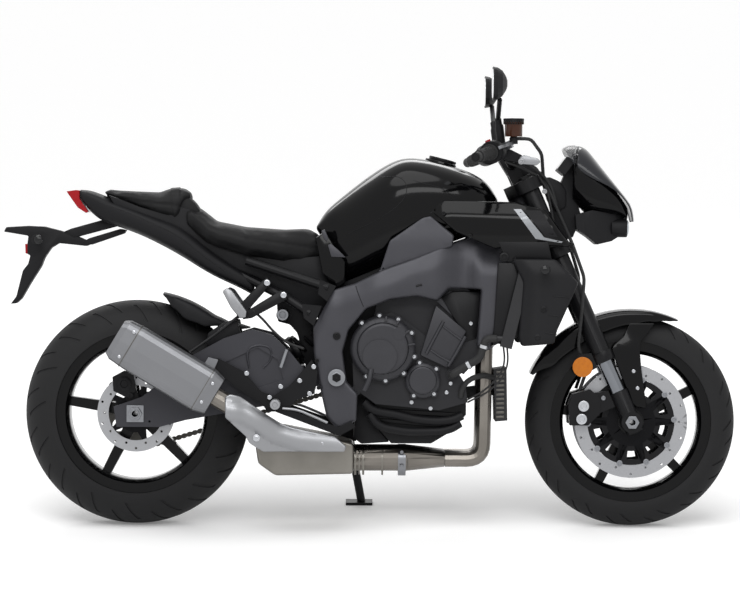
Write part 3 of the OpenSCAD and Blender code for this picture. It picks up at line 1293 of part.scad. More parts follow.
parked() front_wheel();
parked() rear_wheel();
parked() front_tyre();
parked() rear_tyre();
parked() front_discs();
parked() rear_disc();
parked() chain();
parked() rear_sprocket();
parked() rear_axle();
parked() front_axle();
parked() fork_tubes();
parked() fork_feet();
parked() fork_sliders();
parked() yokes();
parked() handlebar();
parked() grips();
parked() switches();
parked() levers();
parked() mirrors();
parked() brake_reservoir();
parked() meter();
parked() windscreen();
parked() nose_cowl();
parked() headlamp();
parked() front_mudguard();
parked() front_calipers();
parked() reflectors();
parked() frame_spars();
parked() frame_head();
parked() swingarm();
parked() swingarm_pivot();
parked() rear_mudguard();
parked() shock();
parked() subframe();
parked() pillion_hangers();
parked() rider_hangers();
parked() engine_block();
parked() engine_covers();
parked() oil_pan();
parked() radiator();
parked() radiator_shrouds();
parked() exhaust_headers();
parked() exhaust_box();
parked() exhaust_link();
parked() exhaust_shield();
parked() muffler();
parked() fuel_tank();
parked() tank_covers();
parked() fuel_cap();
parked() rider_seat();
parked() pillion_seat();
parked() tail_cowl();
parked() tail_lamp();
parked() plate_bracket();
parked() signals();
parked() rear_caliper();
parked() side_stand();
parked() stand_lug();
parked() brake_hoses();
parked() coolant_hoses();
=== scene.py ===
# %% [markdown]
# # A standard motorcycle, parked on its side stand
# The real machine is an open-framed road motorcycle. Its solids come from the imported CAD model, and
# this lesson gives them their finishes and adds what CAD leaves out: tread, padding, bolts and trim.
# The frame is loaded first, because every later piece is placed against it.

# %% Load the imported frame
import json
import math
import bmesh
import bpy
from mathutils import Matrix, Vector
from mathutils.bvhtree import BVHTree


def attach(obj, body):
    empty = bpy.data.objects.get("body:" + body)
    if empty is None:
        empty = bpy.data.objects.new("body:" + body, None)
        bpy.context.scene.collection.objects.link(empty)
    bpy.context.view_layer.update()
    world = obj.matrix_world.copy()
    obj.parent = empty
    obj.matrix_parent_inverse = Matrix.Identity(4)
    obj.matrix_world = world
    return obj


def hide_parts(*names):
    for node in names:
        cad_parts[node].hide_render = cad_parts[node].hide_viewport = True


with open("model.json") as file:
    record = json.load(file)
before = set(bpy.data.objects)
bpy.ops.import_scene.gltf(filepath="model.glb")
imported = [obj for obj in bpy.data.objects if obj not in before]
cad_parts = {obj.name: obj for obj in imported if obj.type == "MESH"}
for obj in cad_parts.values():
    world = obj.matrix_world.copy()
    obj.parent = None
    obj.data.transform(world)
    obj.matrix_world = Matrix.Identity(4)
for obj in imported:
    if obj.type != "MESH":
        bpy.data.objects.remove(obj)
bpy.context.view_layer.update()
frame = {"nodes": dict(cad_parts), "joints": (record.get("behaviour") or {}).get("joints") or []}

# %% [markdown]
# The parked machine leans to its left. Modelling on a slant is awkward, so every new piece is made on
# the upright machine (X forward from the rear axle, Y left, Z up, metres) and one matrix leans it.
# A second helper turns a place in the photograph, at a known depth, into a place on the upright machine.

# %% The upright frame and the photograph
LEAN = math.radians(9)
REAR_R, FRONT_R, WHEELBASE = 0.319, 0.299, 1.405
joints = {j["name"]: j for j in frame["joints"]}
rear_axle_at = Vector(joints["rear_wheel_spin"]["pos_m"])
PARK = (Matrix.Translation(rear_axle_at) @ Matrix.Rotation(-LEAN, 4, "X")
        @ Matrix.Translation((0, 0, -REAR_R)))
UPRIGHT = PARK.inverted()
PHOTO = (740, 600)
REAR_AXLE_PX, WHEELBASE_PX, GROUND_PX = (138.5, 412.4), 491.5, 524
EYE_PX, EYE_DISTANCE = (350, 240), 12.0
PX = WHEELBASE / WHEELBASE_PX
EYE_X, EYE_Z = (EYE_PX[0] - REAR_AXLE_PX[0]) * PX, (GROUND_PX - EYE_PX[1]) * PX


def seen(px, py, y=0.0):
    """Place on the upright machine of a pixel of the photograph, at a depth y from its middle plane."""
    near = 1 - abs(y) / EYE_DISTANCE
    return Vector((EYE_X + (px - EYE_PX[0]) * PX * near, y, EYE_Z + (EYE_PX[1] - py) * PX * near))


print("rear axle seen at", seen(*REAR_AXLE_PX), "parked at", PARK @ seen(*REAR_AXLE_PX))

# %% [markdown]
# A catalogue picture is taken from far off with a long lens. The camera leans with the machine, so the
# wheels stand upright in the picture as they do in the photograph.

# %% Camera
scene = bpy.context.scene
FAR_CLIP = 200


def link(name, data):
    made = bpy.data.objects.new(name, data)
    scene.collection.objects.link(made)
    return made


aim = seen(PHOTO[0] / 2, PHOTO[1] / 2)
eye = Vector((EYE_X, -EYE_DISTANCE, EYE_Z))
camera = link("camera", bpy.data.cameras.new("camera"))
camera.data.lens = camera.data.sensor_width * EYE_DISTANCE / (PHOTO[0] * PX)
camera.data.clip_end = FAR_CLIP
look = (aim - eye).to_track_quat("-Z", "Z").to_matrix().to_4x4()
camera.matrix_world = PARK @ Matrix.Translation(eye) @ look
scene.camera = camera
print("lens", round(camera.data.lens, 1), "mm")

# %% [markdown]
# The studio is a wide pale floor under a white world that fills the shadows. Both are brighter where the
# camera, a mirror or a glass looks at them than where they only light the machine, so the backdrop is white
# and the black paint stays black.

# %% Studio
scene.view_settings.view_transform = "Standard"
FLOOR_HALF, WHITE = 60.0, (1, 1, 1, 1)
FLOOR_LOOK = {"Base Color": (0.93, 0.93, 0.93, 1), "Roughness": 0.9, "Specular IOR Level": 0.1,
              "Emission Color": WHITE}
FLOOR_GLOW, FILL = 0.16, 0.42
floor_bm = bmesh.new()
bmesh.ops.create_grid(floor_bm, x_segments=1, y_segments=1, size=FLOOR_HALF)
floor_mesh = bpy.data.meshes.new("floor")
floor_bm.to_mesh(floor_mesh)
floor_bm.free()
floor = link("floor", floor_mesh)
floor_finish = bpy.data.materials.new("studio_floor")
floor_finish.use_nodes = True
floor_shader = floor_finish.node_tree.nodes["Principled BSDF"]
for label, value in FLOOR_LOOK.items():
    floor_shader.inputs[label].default_value = value
floor_mesh.materials.append(floor_finish)


def sees_backdrop(tree):
    """One where the ray comes from the camera, a mirror or a glass, nought for other light."""
    ray = tree.nodes.new("ShaderNodeLightPath")
    either = ray.outputs["Is Camera Ray"]
    for label in ("Is Glossy Ray", "Is Transmission Ray"):
        both = tree.nodes.new("ShaderNodeMath")
        both.operation = "MAXIMUM"
        tree.links.new(either, both.inputs[0])
        tree.links.new(ray.outputs[label], both.inputs[1])
        either = both.outputs[0]
    return either


def level_of(tree, extra, base):
    level = tree.nodes.new("ShaderNodeMath")
    level.operation = "MULTIPLY_ADD"
    tree.links.new(sees_backdrop(tree), level.inputs[0])
    level.inputs[1].default_value, level.inputs[2].default_value = extra, base
    return level.outputs[0]


floor_finish.node_tree.links.new(level_of(floor_finish.node_tree, FLOOR_GLOW, 0.0),
                                 floor_shader.inputs["Emission Strength"])

world = bpy.data.worlds.new("studio")
scene.world = world
world.use_nodes = True
world.node_tree.nodes["Background"].inputs["Color"].default_value = WHITE
world.node_tree.links.new(level_of(world.node_tree, 1 - FILL, FILL),
                          world.node_tree.nodes["Background"].inputs["Strength"])
print("floor", floor.name, "world", world.name)

# %% [markdown]
# One broad sun lights the whole floor evenly. Two long soft boxes give the black paint its highlights.

# %% Lamps
SUN_POWER, SUN_SPREAD, SUN_TURN = 1.55, math.radians(50), (math.radians(18), math.radians(-10), 0)
BIKE_MIDDLE, BOX_POWER = (0, 0, 0.6), 60


def soft_box(name, place, target, width, height, power):
    lamp = bpy.data.lights.new(name, "AREA")
    lamp.shape, lamp.size, lamp.size_y, lamp.energy = "RECTANGLE", width, height, power
    made = link(name, lamp)
    made.location = place
    made.rotation_euler = (Vector(target) - Vector(place)).to_track_quat("-Z", "Y").to_euler()


sun = link("sun", bpy.data.lights.new("sun", "SUN"))
sun.data.energy, sun.data.angle = SUN_POWER, SUN_SPREAD
sun.rotation_euler = SUN_TURN
soft_box("side_box", (0.3, -4.2, 3.4), BIKE_MIDDLE, 4.2, 0.9, BOX_POWER)
soft_box("far_box", (-0.4, 3.8, 3.0), BIKE_MIDDLE, 4.0, 1.2, BOX_POWER)

# %% [markdown]
# No real surface is one flat colour. Four node groups are shared by the finishes: one breaks up colour
# and roughness with soft blotches and a fine grain, one draws brushed lines along one axis, one is the
# grain of vinyl, and one tells the middle of a disc from its rim. A group only puts out colours, values
# and heights. The shader itself stays in each material. A few helpers come first.

# %% Node helpers


def start_group(name, numbers, colours=(), outs=()):
    group = bpy.data.node_groups.new(name, "ShaderNodeTree")
    for label in colours:
        group.interface.new_socket(name=label, in_out="INPUT", socket_type="NodeSocketColor")
    for label in numbers:
        group.interface.new_socket(name=label, in_out="INPUT", socket_type="NodeSocketFloat")
    for label, kind in outs:
        group.interface.new_socket(name=label, in_out="OUTPUT", socket_type=kind)
    add = group.nodes.new
    place = add("ShaderNodeTexCoord").outputs["Object"]
    return group, add("NodeGroupInput"), add("NodeGroupOutput"), place, add, group.links.new


def plug(join, value, port):
    """Set a port to a number, or join it to another node."""
    if isinstance(value, (int, float)):
        port.default_value = value
    else:
        join(value, port)


def noise_at(add, join, coordinates, scale, detail):
    made = add("ShaderNodeTexNoise")
    made.inputs["Detail"].default_value = detail
    join(coordinates, made.inputs["Vector"])
    plug(join, scale, made.inputs["Scale"])
    return made.outputs["Fac"]


def math_node(add, join, kind, a, b):
    made = add("ShaderNodeMath")
    made.operation = kind
    plug(join, a, made.inputs[0])
    plug(join, b, made.inputs[1])
    return made.outputs[0]


# %% [markdown]
# Blotches and grain follow the object's own coordinates, so they keep their place when a joint moves.

# %% Shared surface groups
MIX_SHARE, MIX_A, MIX_B, MIX_OUT = 0, 6, 7, 2
COLOUR, VALUE = "NodeSocketColor", "NodeSocketFloat"
lived_in, g_in, g_out, place, add, join = start_group(
    "lived_in_surface", ("Blotch Scale", "Blotch", "Grain Scale", "Roughness", "Spread"),
    ("Colour", "Worn Colour"), (("Colour", COLOUR), ("Roughness", VALUE), ("Grain", VALUE)))
blotch = noise_at(add, join, place, g_in.outputs["Blotch Scale"], 5)
grain = noise_at(add, join, place, g_in.outputs["Grain Scale"], 3)
mixed = add("ShaderNodeMix")
mixed.data_type = "RGBA"
join(math_node(add, join, "MULTIPLY", blotch, g_in.outputs["Blotch"]), mixed.inputs[MIX_SHARE])
join(g_in.outputs["Colour"], mixed.inputs[MIX_A])
join(g_in.outputs["Worn Colour"], mixed.inputs[MIX_B])
join(mixed.outputs[MIX_OUT], g_out.inputs["Colour"])
swing = math_node(add, join, "SUBTRACT", blotch, 0.5)
swing = math_node(add, join, "MULTIPLY", swing, g_in.outputs["Spread"])
join(math_node(add, join, "ADD", swing, g_in.outputs["Roughness"]), g_out.inputs["Roughness"])
join(grain, g_out.inputs["Grain"])

brushed, g_in, g_out, place, add, join = start_group("brushed_lines", ("Scale", "Stretch"), (),
                                                     (("Lines", VALUE),))
turn = add("ShaderNodeMapping")
join(place, turn.inputs["Vector"])
spread = add("ShaderNodeCombineXYZ")
join(g_in.outputs["Stretch"], spread.inputs["X"])
spread.inputs["Y"].default_value = spread.inputs["Z"].default_value = 1
join(spread.outputs[0], turn.inputs["Scale"])
join(noise_at(add, join, turn.outputs[0], g_in.outputs["Scale"], 2), g_out.inputs["Lines"])

hide, g_in, g_out, place, add, join = start_group("hide_grain", ("Scale",), (), (("Height", VALUE),))
cells = add("ShaderNodeTexVoronoi")
cells.feature = "DISTANCE_TO_EDGE"
join(place, cells.inputs["Vector"])
join(g_in.outputs["Scale"], cells.inputs["Scale"])
CREASE_SCALE, CREASE_HEIGHT, CELL_HEIGHT = 60, 0.12, 0.14
low = math_node(add, join, "MINIMUM", cells.outputs["Distance"], CELL_HEIGHT)
creases = math_node(add, join, "MULTIPLY", noise_at(add, join, place, CREASE_SCALE, 4), CREASE_HEIGHT)
join(math_node(add, join, "ADD", low, creases), g_out.inputs["Height"])

hub_mask, g_in, g_out, place, add, join = start_group("hub_mask", ("Radius",), (), (("Mask", VALUE),))
for label in ("Centre", "Axis"):
    hub_mask.interface.new_socket(name=label, in_out="INPUT", socket_type="NodeSocketVector")


def vector_node(add, join, kind, a, b):
    made = add("ShaderNodeVectorMath")
    made.operation = kind
    join(a, made.inputs[0])
    join(b, made.inputs[1])
    return made.outputs["Value" if kind == "DOT_PRODUCT" else "Vector"]


arm = vector_node(add, join, "SUBTRACT", place, g_in.outputs["Centre"])
along = vector_node(add, join, "DOT_PRODUCT", arm, g_in.outputs["Axis"])
square = math_node(add, join, "SUBTRACT", vector_node(add, join, "DOT_PRODUCT", arm, arm),
                   math_node(add, join, "MULTIPLY", along, along))
reach = math_node(add, join, "MULTIPLY", g_in.outputs["Radius"], g_in.outputs["Radius"])
join(math_node(add, join, "GREATER_THAN", square, reach), g_out.inputs["Mask"])
print("groups", [g.name for g in bpy.data.node_groups])

# %% [markdown]
# Each finish is one material: gloss lacquer, satin cast alloy, moulded plastic, rubber, steel. They share
# a small recipe, so a finish is a row of numbers that can be compared with its neighbours.

# %% Finishes


def rgb(text):
    parts = [int(text[i:i + 2], 16) / 255 for i in (1, 3, 5)]
    return tuple(c / 12.92 if c < 0.04045 else ((c + 0.055) / 1.055) ** 2.4 for c in parts) + (1,)


def use_group(nodes, tree, values):
    made = nodes.new("ShaderNodeGroup")
    made.node_tree = tree
    for label, value in values.items():
        made.inputs[label].default_value = value
    return made


def finish(name, colour, worn, rough, metallic=0.0, spread=0.1, blotch=(9, 0.6), grain=(900, 0.05, 0.0004),
           lines=None, leather=None, hub=None, **fixed):
    made = bpy.data.materials.new(name)
    made.use_nodes = True
    nodes, links = made.node_tree.nodes, made.node_tree.links
    shader = nodes["Principled BSDF"]
    life = use_group(nodes, lived_in, {
        "Blotch Scale": blotch[0], "Blotch": blotch[1], "Grain Scale": grain[0], "Roughness": rough,
        "Spread": spread, "Colour": rgb(colour), "Worn Colour": rgb(worn)})
    height = life.outputs["Grain"]
    if lines:
        height = use_group(nodes, brushed, dict(zip(("Scale", "Stretch"), lines))).outputs["Lines"]
    if leather:
        height = use_group(nodes, hide, {"Scale": leather}).outputs["Height"]
    bump = nodes.new("ShaderNodeBump")
    bump.inputs["Strength"].default_value, bump.inputs["Distance"].default_value = grain[1], grain[2]
    links.new(height, bump.inputs["Height"])
    links.new(bump.outputs["Normal"], shader.inputs["Normal"])
    colour_out = life.outputs["Colour"]
    if hub:
        centre, axis, radius, middle_colour = hub
        inside = use_group(nodes, hub_mask, {"Centre": centre, "Axis": axis, "Radius": radius})
        mix = nodes.new("ShaderNodeMix")
        mix.data_type = "RGBA"
        links.new(inside.outputs["Mask"], mix.inputs[MIX_SHARE])
        mix.inputs[MIX_A].default_value = rgb(middle_colour)
        links.new(colour_out, mix.inputs[MIX_B])
        colour_out = mix.outputs[MIX_OUT]
    links.new(colour_out, shader.inputs["Base Color"])
    links.new(life.outputs["Roughness"], shader.inputs["Roughness"])
    shader.inputs["Metallic"].default_value = metallic
    for label, value in fixed.items():
        shader.inputs[label.replace("_", " ").title().replace("Ior", "IOR")].default_value = value
    return made


gloss_lacquer = finish("gloss_lacquer", "#050506", "#09090b", 0.12, spread=0.05, blotch=(4, 0.5),
                       grain=(1500, 0.02, 0.0002), coat_weight=0.12, coat_roughness=0.04, specular_ior_level=0.12)
wheel_lacquer = finish("wheel_lacquer", "#040405", "#09090a", 0.2, spread=0.08, coat_weight=0.1,
                       specular_ior_level=0.14)
frame_coat = finish("frame_coat", "#36363b", "#404045", 0.44, metallic=0.45, spread=0.12, blotch=(14, 0.7),
                    grain=(1400, 0.12, 0.0003))
arm_coat = finish("arm_coat", "#2e2e33", "#38383d", 0.46, metallic=0.45, spread=0.12, blotch=(12, 0.7),
                  grain=(1400, 0.12, 0.0003))
engine_coat = finish("engine_coat", "#2b2b2f", "#36363a", 0.46, metallic=0.4, spread=0.14, blotch=(18, 0.8),
                     grain=(700, 0.2, 0.0005))
cast_alloy = finish("cast_alloy", "#19191c", "#242427", 0.5, metallic=0.5, spread=0.16, blotch=(22, 0.8),
                    grain=(600, 0.25, 0.0006))
black_metal = finish("black_metal", "#0e0e10", "#161618", 0.38, metallic=0.2, spread=0.14, specular_ior_level=0.22)
matte_mould = finish("matte_mould", "#121214", "#19191b", 0.55, spread=0.12, grain=(1600, 0.3, 0.0003),
                     specular_ior_level=0.18)
shroud_mould = finish("shroud_mould", "#111113", "#18181b", 0.48, spread=0.12, grain=(1500, 0.25, 0.0003),
                      specular_ior_level=0.2)
rubber = finish("rubber", "#141415", "#1e1e1f", 0.72, spread=0.14, grain=(1200, 0.25, 0.0004))
tread_rubber = finish("tread_rubber", "#1a1a1b", "#252526", 0.66, spread=0.16, blotch=(16, 0.7),
                      grain=(1000, 0.3, 0.0005), specular_ior_level=0.2)
seat_vinyl = finish("seat_vinyl", "#101011", "#171718", 0.6, spread=0.1, leather=520, grain=(900, 0.25, 0.0006),
                    specular_ior_level=0.2)
steel = finish("steel", "#8d8f93", "#6f7074", 0.32, metallic=1.0, spread=0.16, blotch=(40, 0.6))
dark_steel = finish("dark_steel", "#6a6864", "#45433f", 0.42, metallic=0.9, spread=0.2, blotch=(60, 0.8))
DISC_AXIS = PARK.to_3x3() @ Vector((0, 1, 0))
front_disc_steel, rear_disc_steel = (
    finish(name, "#a6a7aa", "#909194", 0.36, metallic=0.85, spread=0.14, lines=(900, 0.04),
           grain=(900, 0.06, 0.0003), hub=(PARK @ Vector(axle), DISC_AXIS, ring, "#101012"))
    for name, axle, ring in (("front_disc_steel", (WHEELBASE, 0, FRONT_R), 0.1235),
                             ("rear_disc_steel", (0, 0, REAR_R), 0.078)))
can_metal = finish("can_metal", "#808184", "#6f7073", 0.4, metallic=0.85, spread=0.12, lines=(700, 0.03),
                   grain=(900, 0.12, 0.0004))
shield_metal = finish("shield_metal", "#98999c", "#868789", 0.4, metallic=0.85, spread=0.1,
                      grain=(1400, 0.12, 0.0003))
header_steel = finish("header_steel", "#8c8781", "#6d6963", 0.3, metallic=1.0, spread=0.2, blotch=(11, 0.9))
box_steel = finish("box_steel", "#8b8882", "#716e68", 0.38, metallic=0.95, spread=0.2, blotch=(14, 0.9))
bright_tube = finish("bright_tube", "#7d8085", "#6a6d72", 0.12, metallic=1.0, spread=0.08)
core_alloy = finish("core_alloy", "#1b1b1d", "#2a2a2c", 0.5, metallic=0.4, spread=0.1)
smoke = finish("smoke", "#0c0d0f", "#121316", 0.1, spread=0.04, coat_weight=0.2, specular_ior_level=0.25)
tinted_sheet = finish("tinted_sheet", "#2b2c2f", "#35363a", 0.12, spread=0.02, grain=(900, 0.0, 0.0), alpha=0.4,
                      specular_ior_level=0.2)
screen_smoke = finish("screen_smoke", "#242528", "#303135", 0.14, spread=0.04, blotch=(6, 0.7),
                      grain=(900, 0.01, 0.0001), specular_ior_level=0.25)
red_lens = finish("red_lens", "#960812", "#b10d18", 0.16, spread=0.05, blotch=(60, 0.6), coat_weight=0.15,
                  specular_ior_level=0.2)
amber_lens = finish("amber_lens", "#b5610f", "#cf7d1c", 0.24, spread=0.06, blotch=(140, 0.9), coat_weight=0.15,
                    specular_ior_level=0.25)
bolt_steel = finish("bolt_steel", "#c2c4c8", "#a6a8ac", 0.26, metallic=1.0, spread=0.12, blotch=(80, 0.6))
stripe_grey = finish("stripe_grey", "#8f9296", "#84878b", 0.34, metallic=0.4, spread=0.06, coat_weight=0.5)
looking_glass = finish("looking_glass", "#c9ccd0", "#bfc2c6", 0.03, metallic=1.0, spread=0.02)
lamp_glass = finish("lamp_glass", "#aeb4ba", "#c9ced3", 0.06, metallic=0.2, spread=0.03, coat_weight=0.9)
cup_brown = finish("cup_brown", "#37190a", "#4d2812", 0.22, spread=0.06, coat_weight=0.15, specular_ior_level=0.2)
print("finishes", len(bpy.data.materials))

# %% [markdown]
# Most CAD solids already have the right shape, so they only take a finish. Real castings and mouldings
# have no knife edges. A weld joins the loose triangles, and a small bevel catches the light along every
# edge without touching the solid itself.

# %% Finish the CAD solids
FINISH_OF = {
    gloss_lacquer: "fuel_tank tank_covers front_mudguard nose_cowl",
    wheel_lacquer: "front_wheel rear_wheel",
    frame_coat: "frame_spars frame_head",
    arm_coat: "swingarm",
    engine_coat: "engine_covers",
    cast_alloy: "engine_block",
    black_metal: "yokes fork_feet fork_tubes handlebar front_calipers rear_caliper shock subframe "
                 "side_stand stand_lug fuel_cap oil_pan rider_hangers pillion_hangers reflectors",
    matte_mould: "tail_cowl plate_bracket rear_mudguard mirrors switches meter headlamp signals",
    shroud_mould: "radiator_shrouds",
    rubber: "grips brake_hoses coolant_hoses",
    tread_rubber: "front_tyre rear_tyre",
    seat_vinyl: "rider_seat pillion_seat",
    steel: "front_axle rear_axle swingarm_pivot levers",
    dark_steel: "chain rear_sprocket",
    front_disc_steel: "front_discs",
    rear_disc_steel: "rear_disc",
    can_metal: "muffler",
    shield_metal: "exhaust_shield",
    header_steel: "exhaust_headers exhaust_link",
    box_steel: "exhaust_box",
    bright_tube: "fork_sliders",
    core_alloy: "radiator",
    smoke: "windscreen",
    red_lens: "tail_lamp",
    cup_brown: "brake_reservoir",
}
WELD, FLAT_ANGLE, EDGE_ANGLE = 0.00002, math.radians(0.5), math.radians(32)
EDGE = 0.0012
ROUND_EDGE = {"frame_spars": 0.004, "swingarm": 0.004, "tank_covers": 0.006, "radiator_shrouds": 0.006,
              "engine_block": 0.003, "oil_pan": 0.004, "headlamp": 0.004, "exhaust_box": 0.008,
              "plate_bracket": 0.003, "yokes": 0.003, "front_calipers": 0.003, "rear_caliper": 0.003}
PLAIN_EDGE = ("chain", "front_tyre", "rear_tyre", "rider_seat", "pillion_seat", "front_discs", "rear_disc")
for material, names in FINISH_OF.items():
    for name in names.split():
        node = frame["nodes"][name]
        node.data.materials.clear()
        node.data.materials.append(material)
        weld = node.modifiers.new("weld", "WELD")
        weld.merge_threshold = WELD
        if name not in PLAIN_EDGE:
            flat = node.modifiers.new("flat", "DECIMATE")
            flat.decimate_type, flat.angle_limit = "DISSOLVE", FLAT_ANGLE
            bevel = node.modifiers.new("edge", "BEVEL")
            bevel.limit_method, bevel.angle_limit = "ANGLE", EDGE_ANGLE
            bevel.width, bevel.segments, bevel.profile = ROUND_EDGE.get(name, EDGE), 2, 0.5
            bevel.use_clamp_overlap = True
            bevel.harden_normals = True
left_bare = sorted(set(frame["nodes"]) - set(" ".join(FINISH_OF.values()).split()))
print("finished nodes, without a finish:", left_bare)

# %% [markdown]
# Every new piece goes through one maker. It leans the bmesh with the machine, recalculates its normals,
# smooths it up to a crease angle, gives it a finish and says which body it rides on.

# %% Piece maker
CREASE = math.radians(34)


def make_piece(name, bm, material, body, crease=CREASE, recalc=True):
    bmesh.ops.transform(bm, matrix=PARK, verts=bm.verts)
    if recalc:
        bmesh.ops.recalc_face_normals(bm, faces=bm.faces)
    for face in bm.faces:
        face.smooth = True
    for edge in bm.edges:
        edge.smooth = len(edge.link_faces) != 2 or edge.calc_face_angle(0) < crease
    mesh = bpy.data.meshes.new(name)
    bm.to_mesh(mesh)
    bm.free()
    mesh.materials.append(material)
    piece = link(name, mesh)
    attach(piece, body)
    print(name, len(mesh.polygons), "faces on", body)
    return piece


# %% [markdown]
# A road tyre is a round section with slanting grooves that start near the crown and run out to the
# shoulder. The section is spun once round the axle. Each ring of points is then turned a little more
# the further it lies from the crown, so the mesh lines slant, and every few columns a strip of faces is
# inset and pushed in to make the grooves.

# %% Tyres
SPIN_STEPS, SECTION_STEPS = 192, 28
RIM_R, LIP, BEAD_LIFT, WALL_IN = 0.216, 0.0133, 0.0003, 0.0093
GROOVE_RIM, GROOVE_DEPTH = 0.0011, 0.0026
SLANT, SLANT_DEGREES, SLANT_MOST, SLANT_POWER = math.radians(11), 60, 1.2, 1.2
CLOSE = 0.00001


def spin_closed(bm, ring, axis, steps):
    """Close a row of points into a section and spin it once round an axis through the origin."""
    before = set(bm.verts) - set(ring)
    edges = [bm.edges.new(two) for two in zip(ring, ring[1:] + ring[:1])]
    bmesh.ops.spin(bm, geom=ring + edges, cent=(0, 0, 0), axis=axis, angle=math.tau, steps=steps,
                   use_merge=True, use_duplicate=False)
    bmesh.ops.remove_doubles(bm, verts=[v for v in bm.verts if v not in before], dist=CLOSE)


def groove_columns(step):
    """Angles from the crown, in degrees, between which this column of faces is cut."""
    return {0: (10, 50), 6: (34, 66)}.get(step % 12)


def road_tyre(name, node, body, at, radius, width, rim_width):
    crown = width / 2
    half = rim_width / 2 - WALL_IN
    lip_r = RIM_R + LIP
    edge = math.degrees(math.acos((lip_r - radius + crown) / crown))
    bm = bmesh.new()
    section = [(lip_r - LIP + BEAD_LIFT, half), (lip_r, half)]
    for i in range(SECTION_STEPS + 1):
        angle = math.radians(edge * (1 - 2 * i / SECTION_STEPS))
        section.append((radius - crown + crown * math.cos(angle), crown * math.sin(angle)))
    section += [(lip_r, -half), (lip_r - LIP + BEAD_LIFT, -half)]
    spin_closed(bm, [bm.verts.new((r, y, 0)) for r, y in section], (0, 1, 0), SPIN_STEPS)

    def lean_angle(point):
        return math.degrees(math.atan2(point.y, math.hypot(point.x, point.z) - radius + crown))

    cut = []
    for face in bm.faces:
        middle = face.calc_center_median()
        step = int((math.atan2(middle.z, middle.x) % math.tau) / math.tau * SPIN_STEPS)
        span = groove_columns(step if middle.y > 0 else step + 3)
        if span and span[0] < abs(lean_angle(middle)) < span[1]:
            cut.append(face)
    bmesh.ops.inset_region(bm, faces=cut, thickness=GROOVE_RIM, depth=-GROOVE_DEPTH, use_even_offset=True)
    for vert in bm.verts:
        share = min(abs(lean_angle(vert.co)) / SLANT_DEGREES, SLANT_MOST)
        vert.co = Matrix.Rotation(SLANT * share ** SLANT_POWER, 4, "Y") @ vert.co
    bmesh.ops.transform(bm, matrix=Matrix.Translation(at), verts=bm.verts)
    piece = make_piece(name, bm, tread_rubber, body)
    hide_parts(node)


road_tyre("rear_road_tyre", "rear_tyre", "rear_wheel", (0, 0, REAR_R), REAR_R, width=0.190, rim_width=0.164)
road_tyre("front_road_tyre", "front_tyre", "front_wheel", (WHEELBASE, 0, FRONT_R), FRONT_R, width=0.120,
          rim_width=0.104)

# %% [markdown]
# The two seats are foam under stretched vinyl. The CAD solid is drawn in a little, remeshed into even
# cells and blown up by a cloth simulation, so the cover bulges between its edges as a stuffed pad does.
# The movement is capped, and the sewn seams are pressed in afterwards because a remesh would erase them.

# %% Seats
VOXEL, FRAMES = 0.006, 20
DRAW_IN, PRESSURE = 0.003, 4
SEAM_DEPTH, SEAM_WIDTH = 0.0035, 0.0045


def evaluated_mesh(piece):
    graph = bpy.context.evaluated_depsgraph_get()
    return bpy.data.meshes.new_from_object(piece.evaluated_get(graph))


def stuffed_pad(name, node, cap):
    bm = bmesh.new()
    bm.from_mesh(frame["nodes"][node].data)
    bmesh.ops.remove_doubles(bm, verts=bm.verts, dist=WELD)
    bm.normal_update()
    for vert in bm.verts:
        vert.co -= vert.normal * DRAW_IN
    mesh = bpy.data.meshes.new(name)
    bm.to_mesh(mesh)
    bm.free()
    pad = link(name, mesh)
    even = pad.modifiers.new("even", "REMESH")
    even.mode, even.voxel_size, even.use_smooth_shade = "VOXEL", VOXEL, True
    pad.data = evaluated_mesh(pad)
    pad.modifiers.clear()
    start = [v.co.copy() for v in pad.data.vertices]
    cloth = pad.modifiers.new("cover", "CLOTH")
    cloth.settings.use_pressure = True
    cloth.settings.uniform_pressure_force = PRESSURE
    cloth.settings.effector_weights.gravity = 0
    for number in range(1, FRAMES + 1):
        scene.frame_set(number)
    blown = evaluated_mesh(pad)
    for vert, first in zip(blown.vertices, start):
        move = vert.co - first
        vert.co = first + (move if move.length < cap else move.normalized() * cap)
    pad.modifiers.clear()
    pad.data = blown
    scene.frame_set(1)
    return pad


def press_seam(mesh, seam):
    normals = [v.normal.copy() for v in mesh.vertices]
    for vert, normal in zip(mesh.vertices, normals):
        near = abs(seam(UPRIGHT @ vert.co))
        vert.co -= normal * SEAM_DEPTH * math.exp(-(near / SEAM_WIDTH) ** 2)


def crease_line(points):
    """Signed height of a point over a line drawn along the side of the pad."""
    def over(p):
        for a, b in zip(points, points[1:]):
            if a[0] <= p.x <= b[0]:
                return p.z - (a[1] + (b[1] - a[1]) * (p.x - a[0]) / (b[0] - a[0]))
        return 1.0
    return over


def finish_pad(pad, node, seam):
    press_seam(pad.data, seam)
    for polygon in pad.data.polygons:
        polygon.use_smooth = True
    pad.data.materials.clear()
    pad.data.materials.append(seat_vinyl)
    finer = pad.modifiers.new("finer", "SUBSURF")
    finer.levels = finer.render_levels = 1
    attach(pad, "chassis")
    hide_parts(node)
    print(pad.name, len(pad.data.polygons), "faces")


# %% [markdown]
# Each pad has one sewn line along its side, given as places along the machine and their heights.

# %% Pads
rider_seam = crease_line([(0.150, 0.905), (0.205, 0.845), (0.310, 0.815), (0.420, 0.800), (0.560, 0.778)])
pillion_seam = crease_line([(-0.110, 0.940), (0.000, 0.918), (0.120, 0.905), (0.190, 0.930)])
rider_pad = stuffed_pad("rider_seat_pad", "rider_seat", 0.006)
finish_pad(rider_pad, "rider_seat", rider_seam)
pillion_pad = stuffed_pad("pillion_seat_pad", "pillion_seat", 0.005)
finish_pad(pillion_pad, "pillion_seat", pillion_seam)

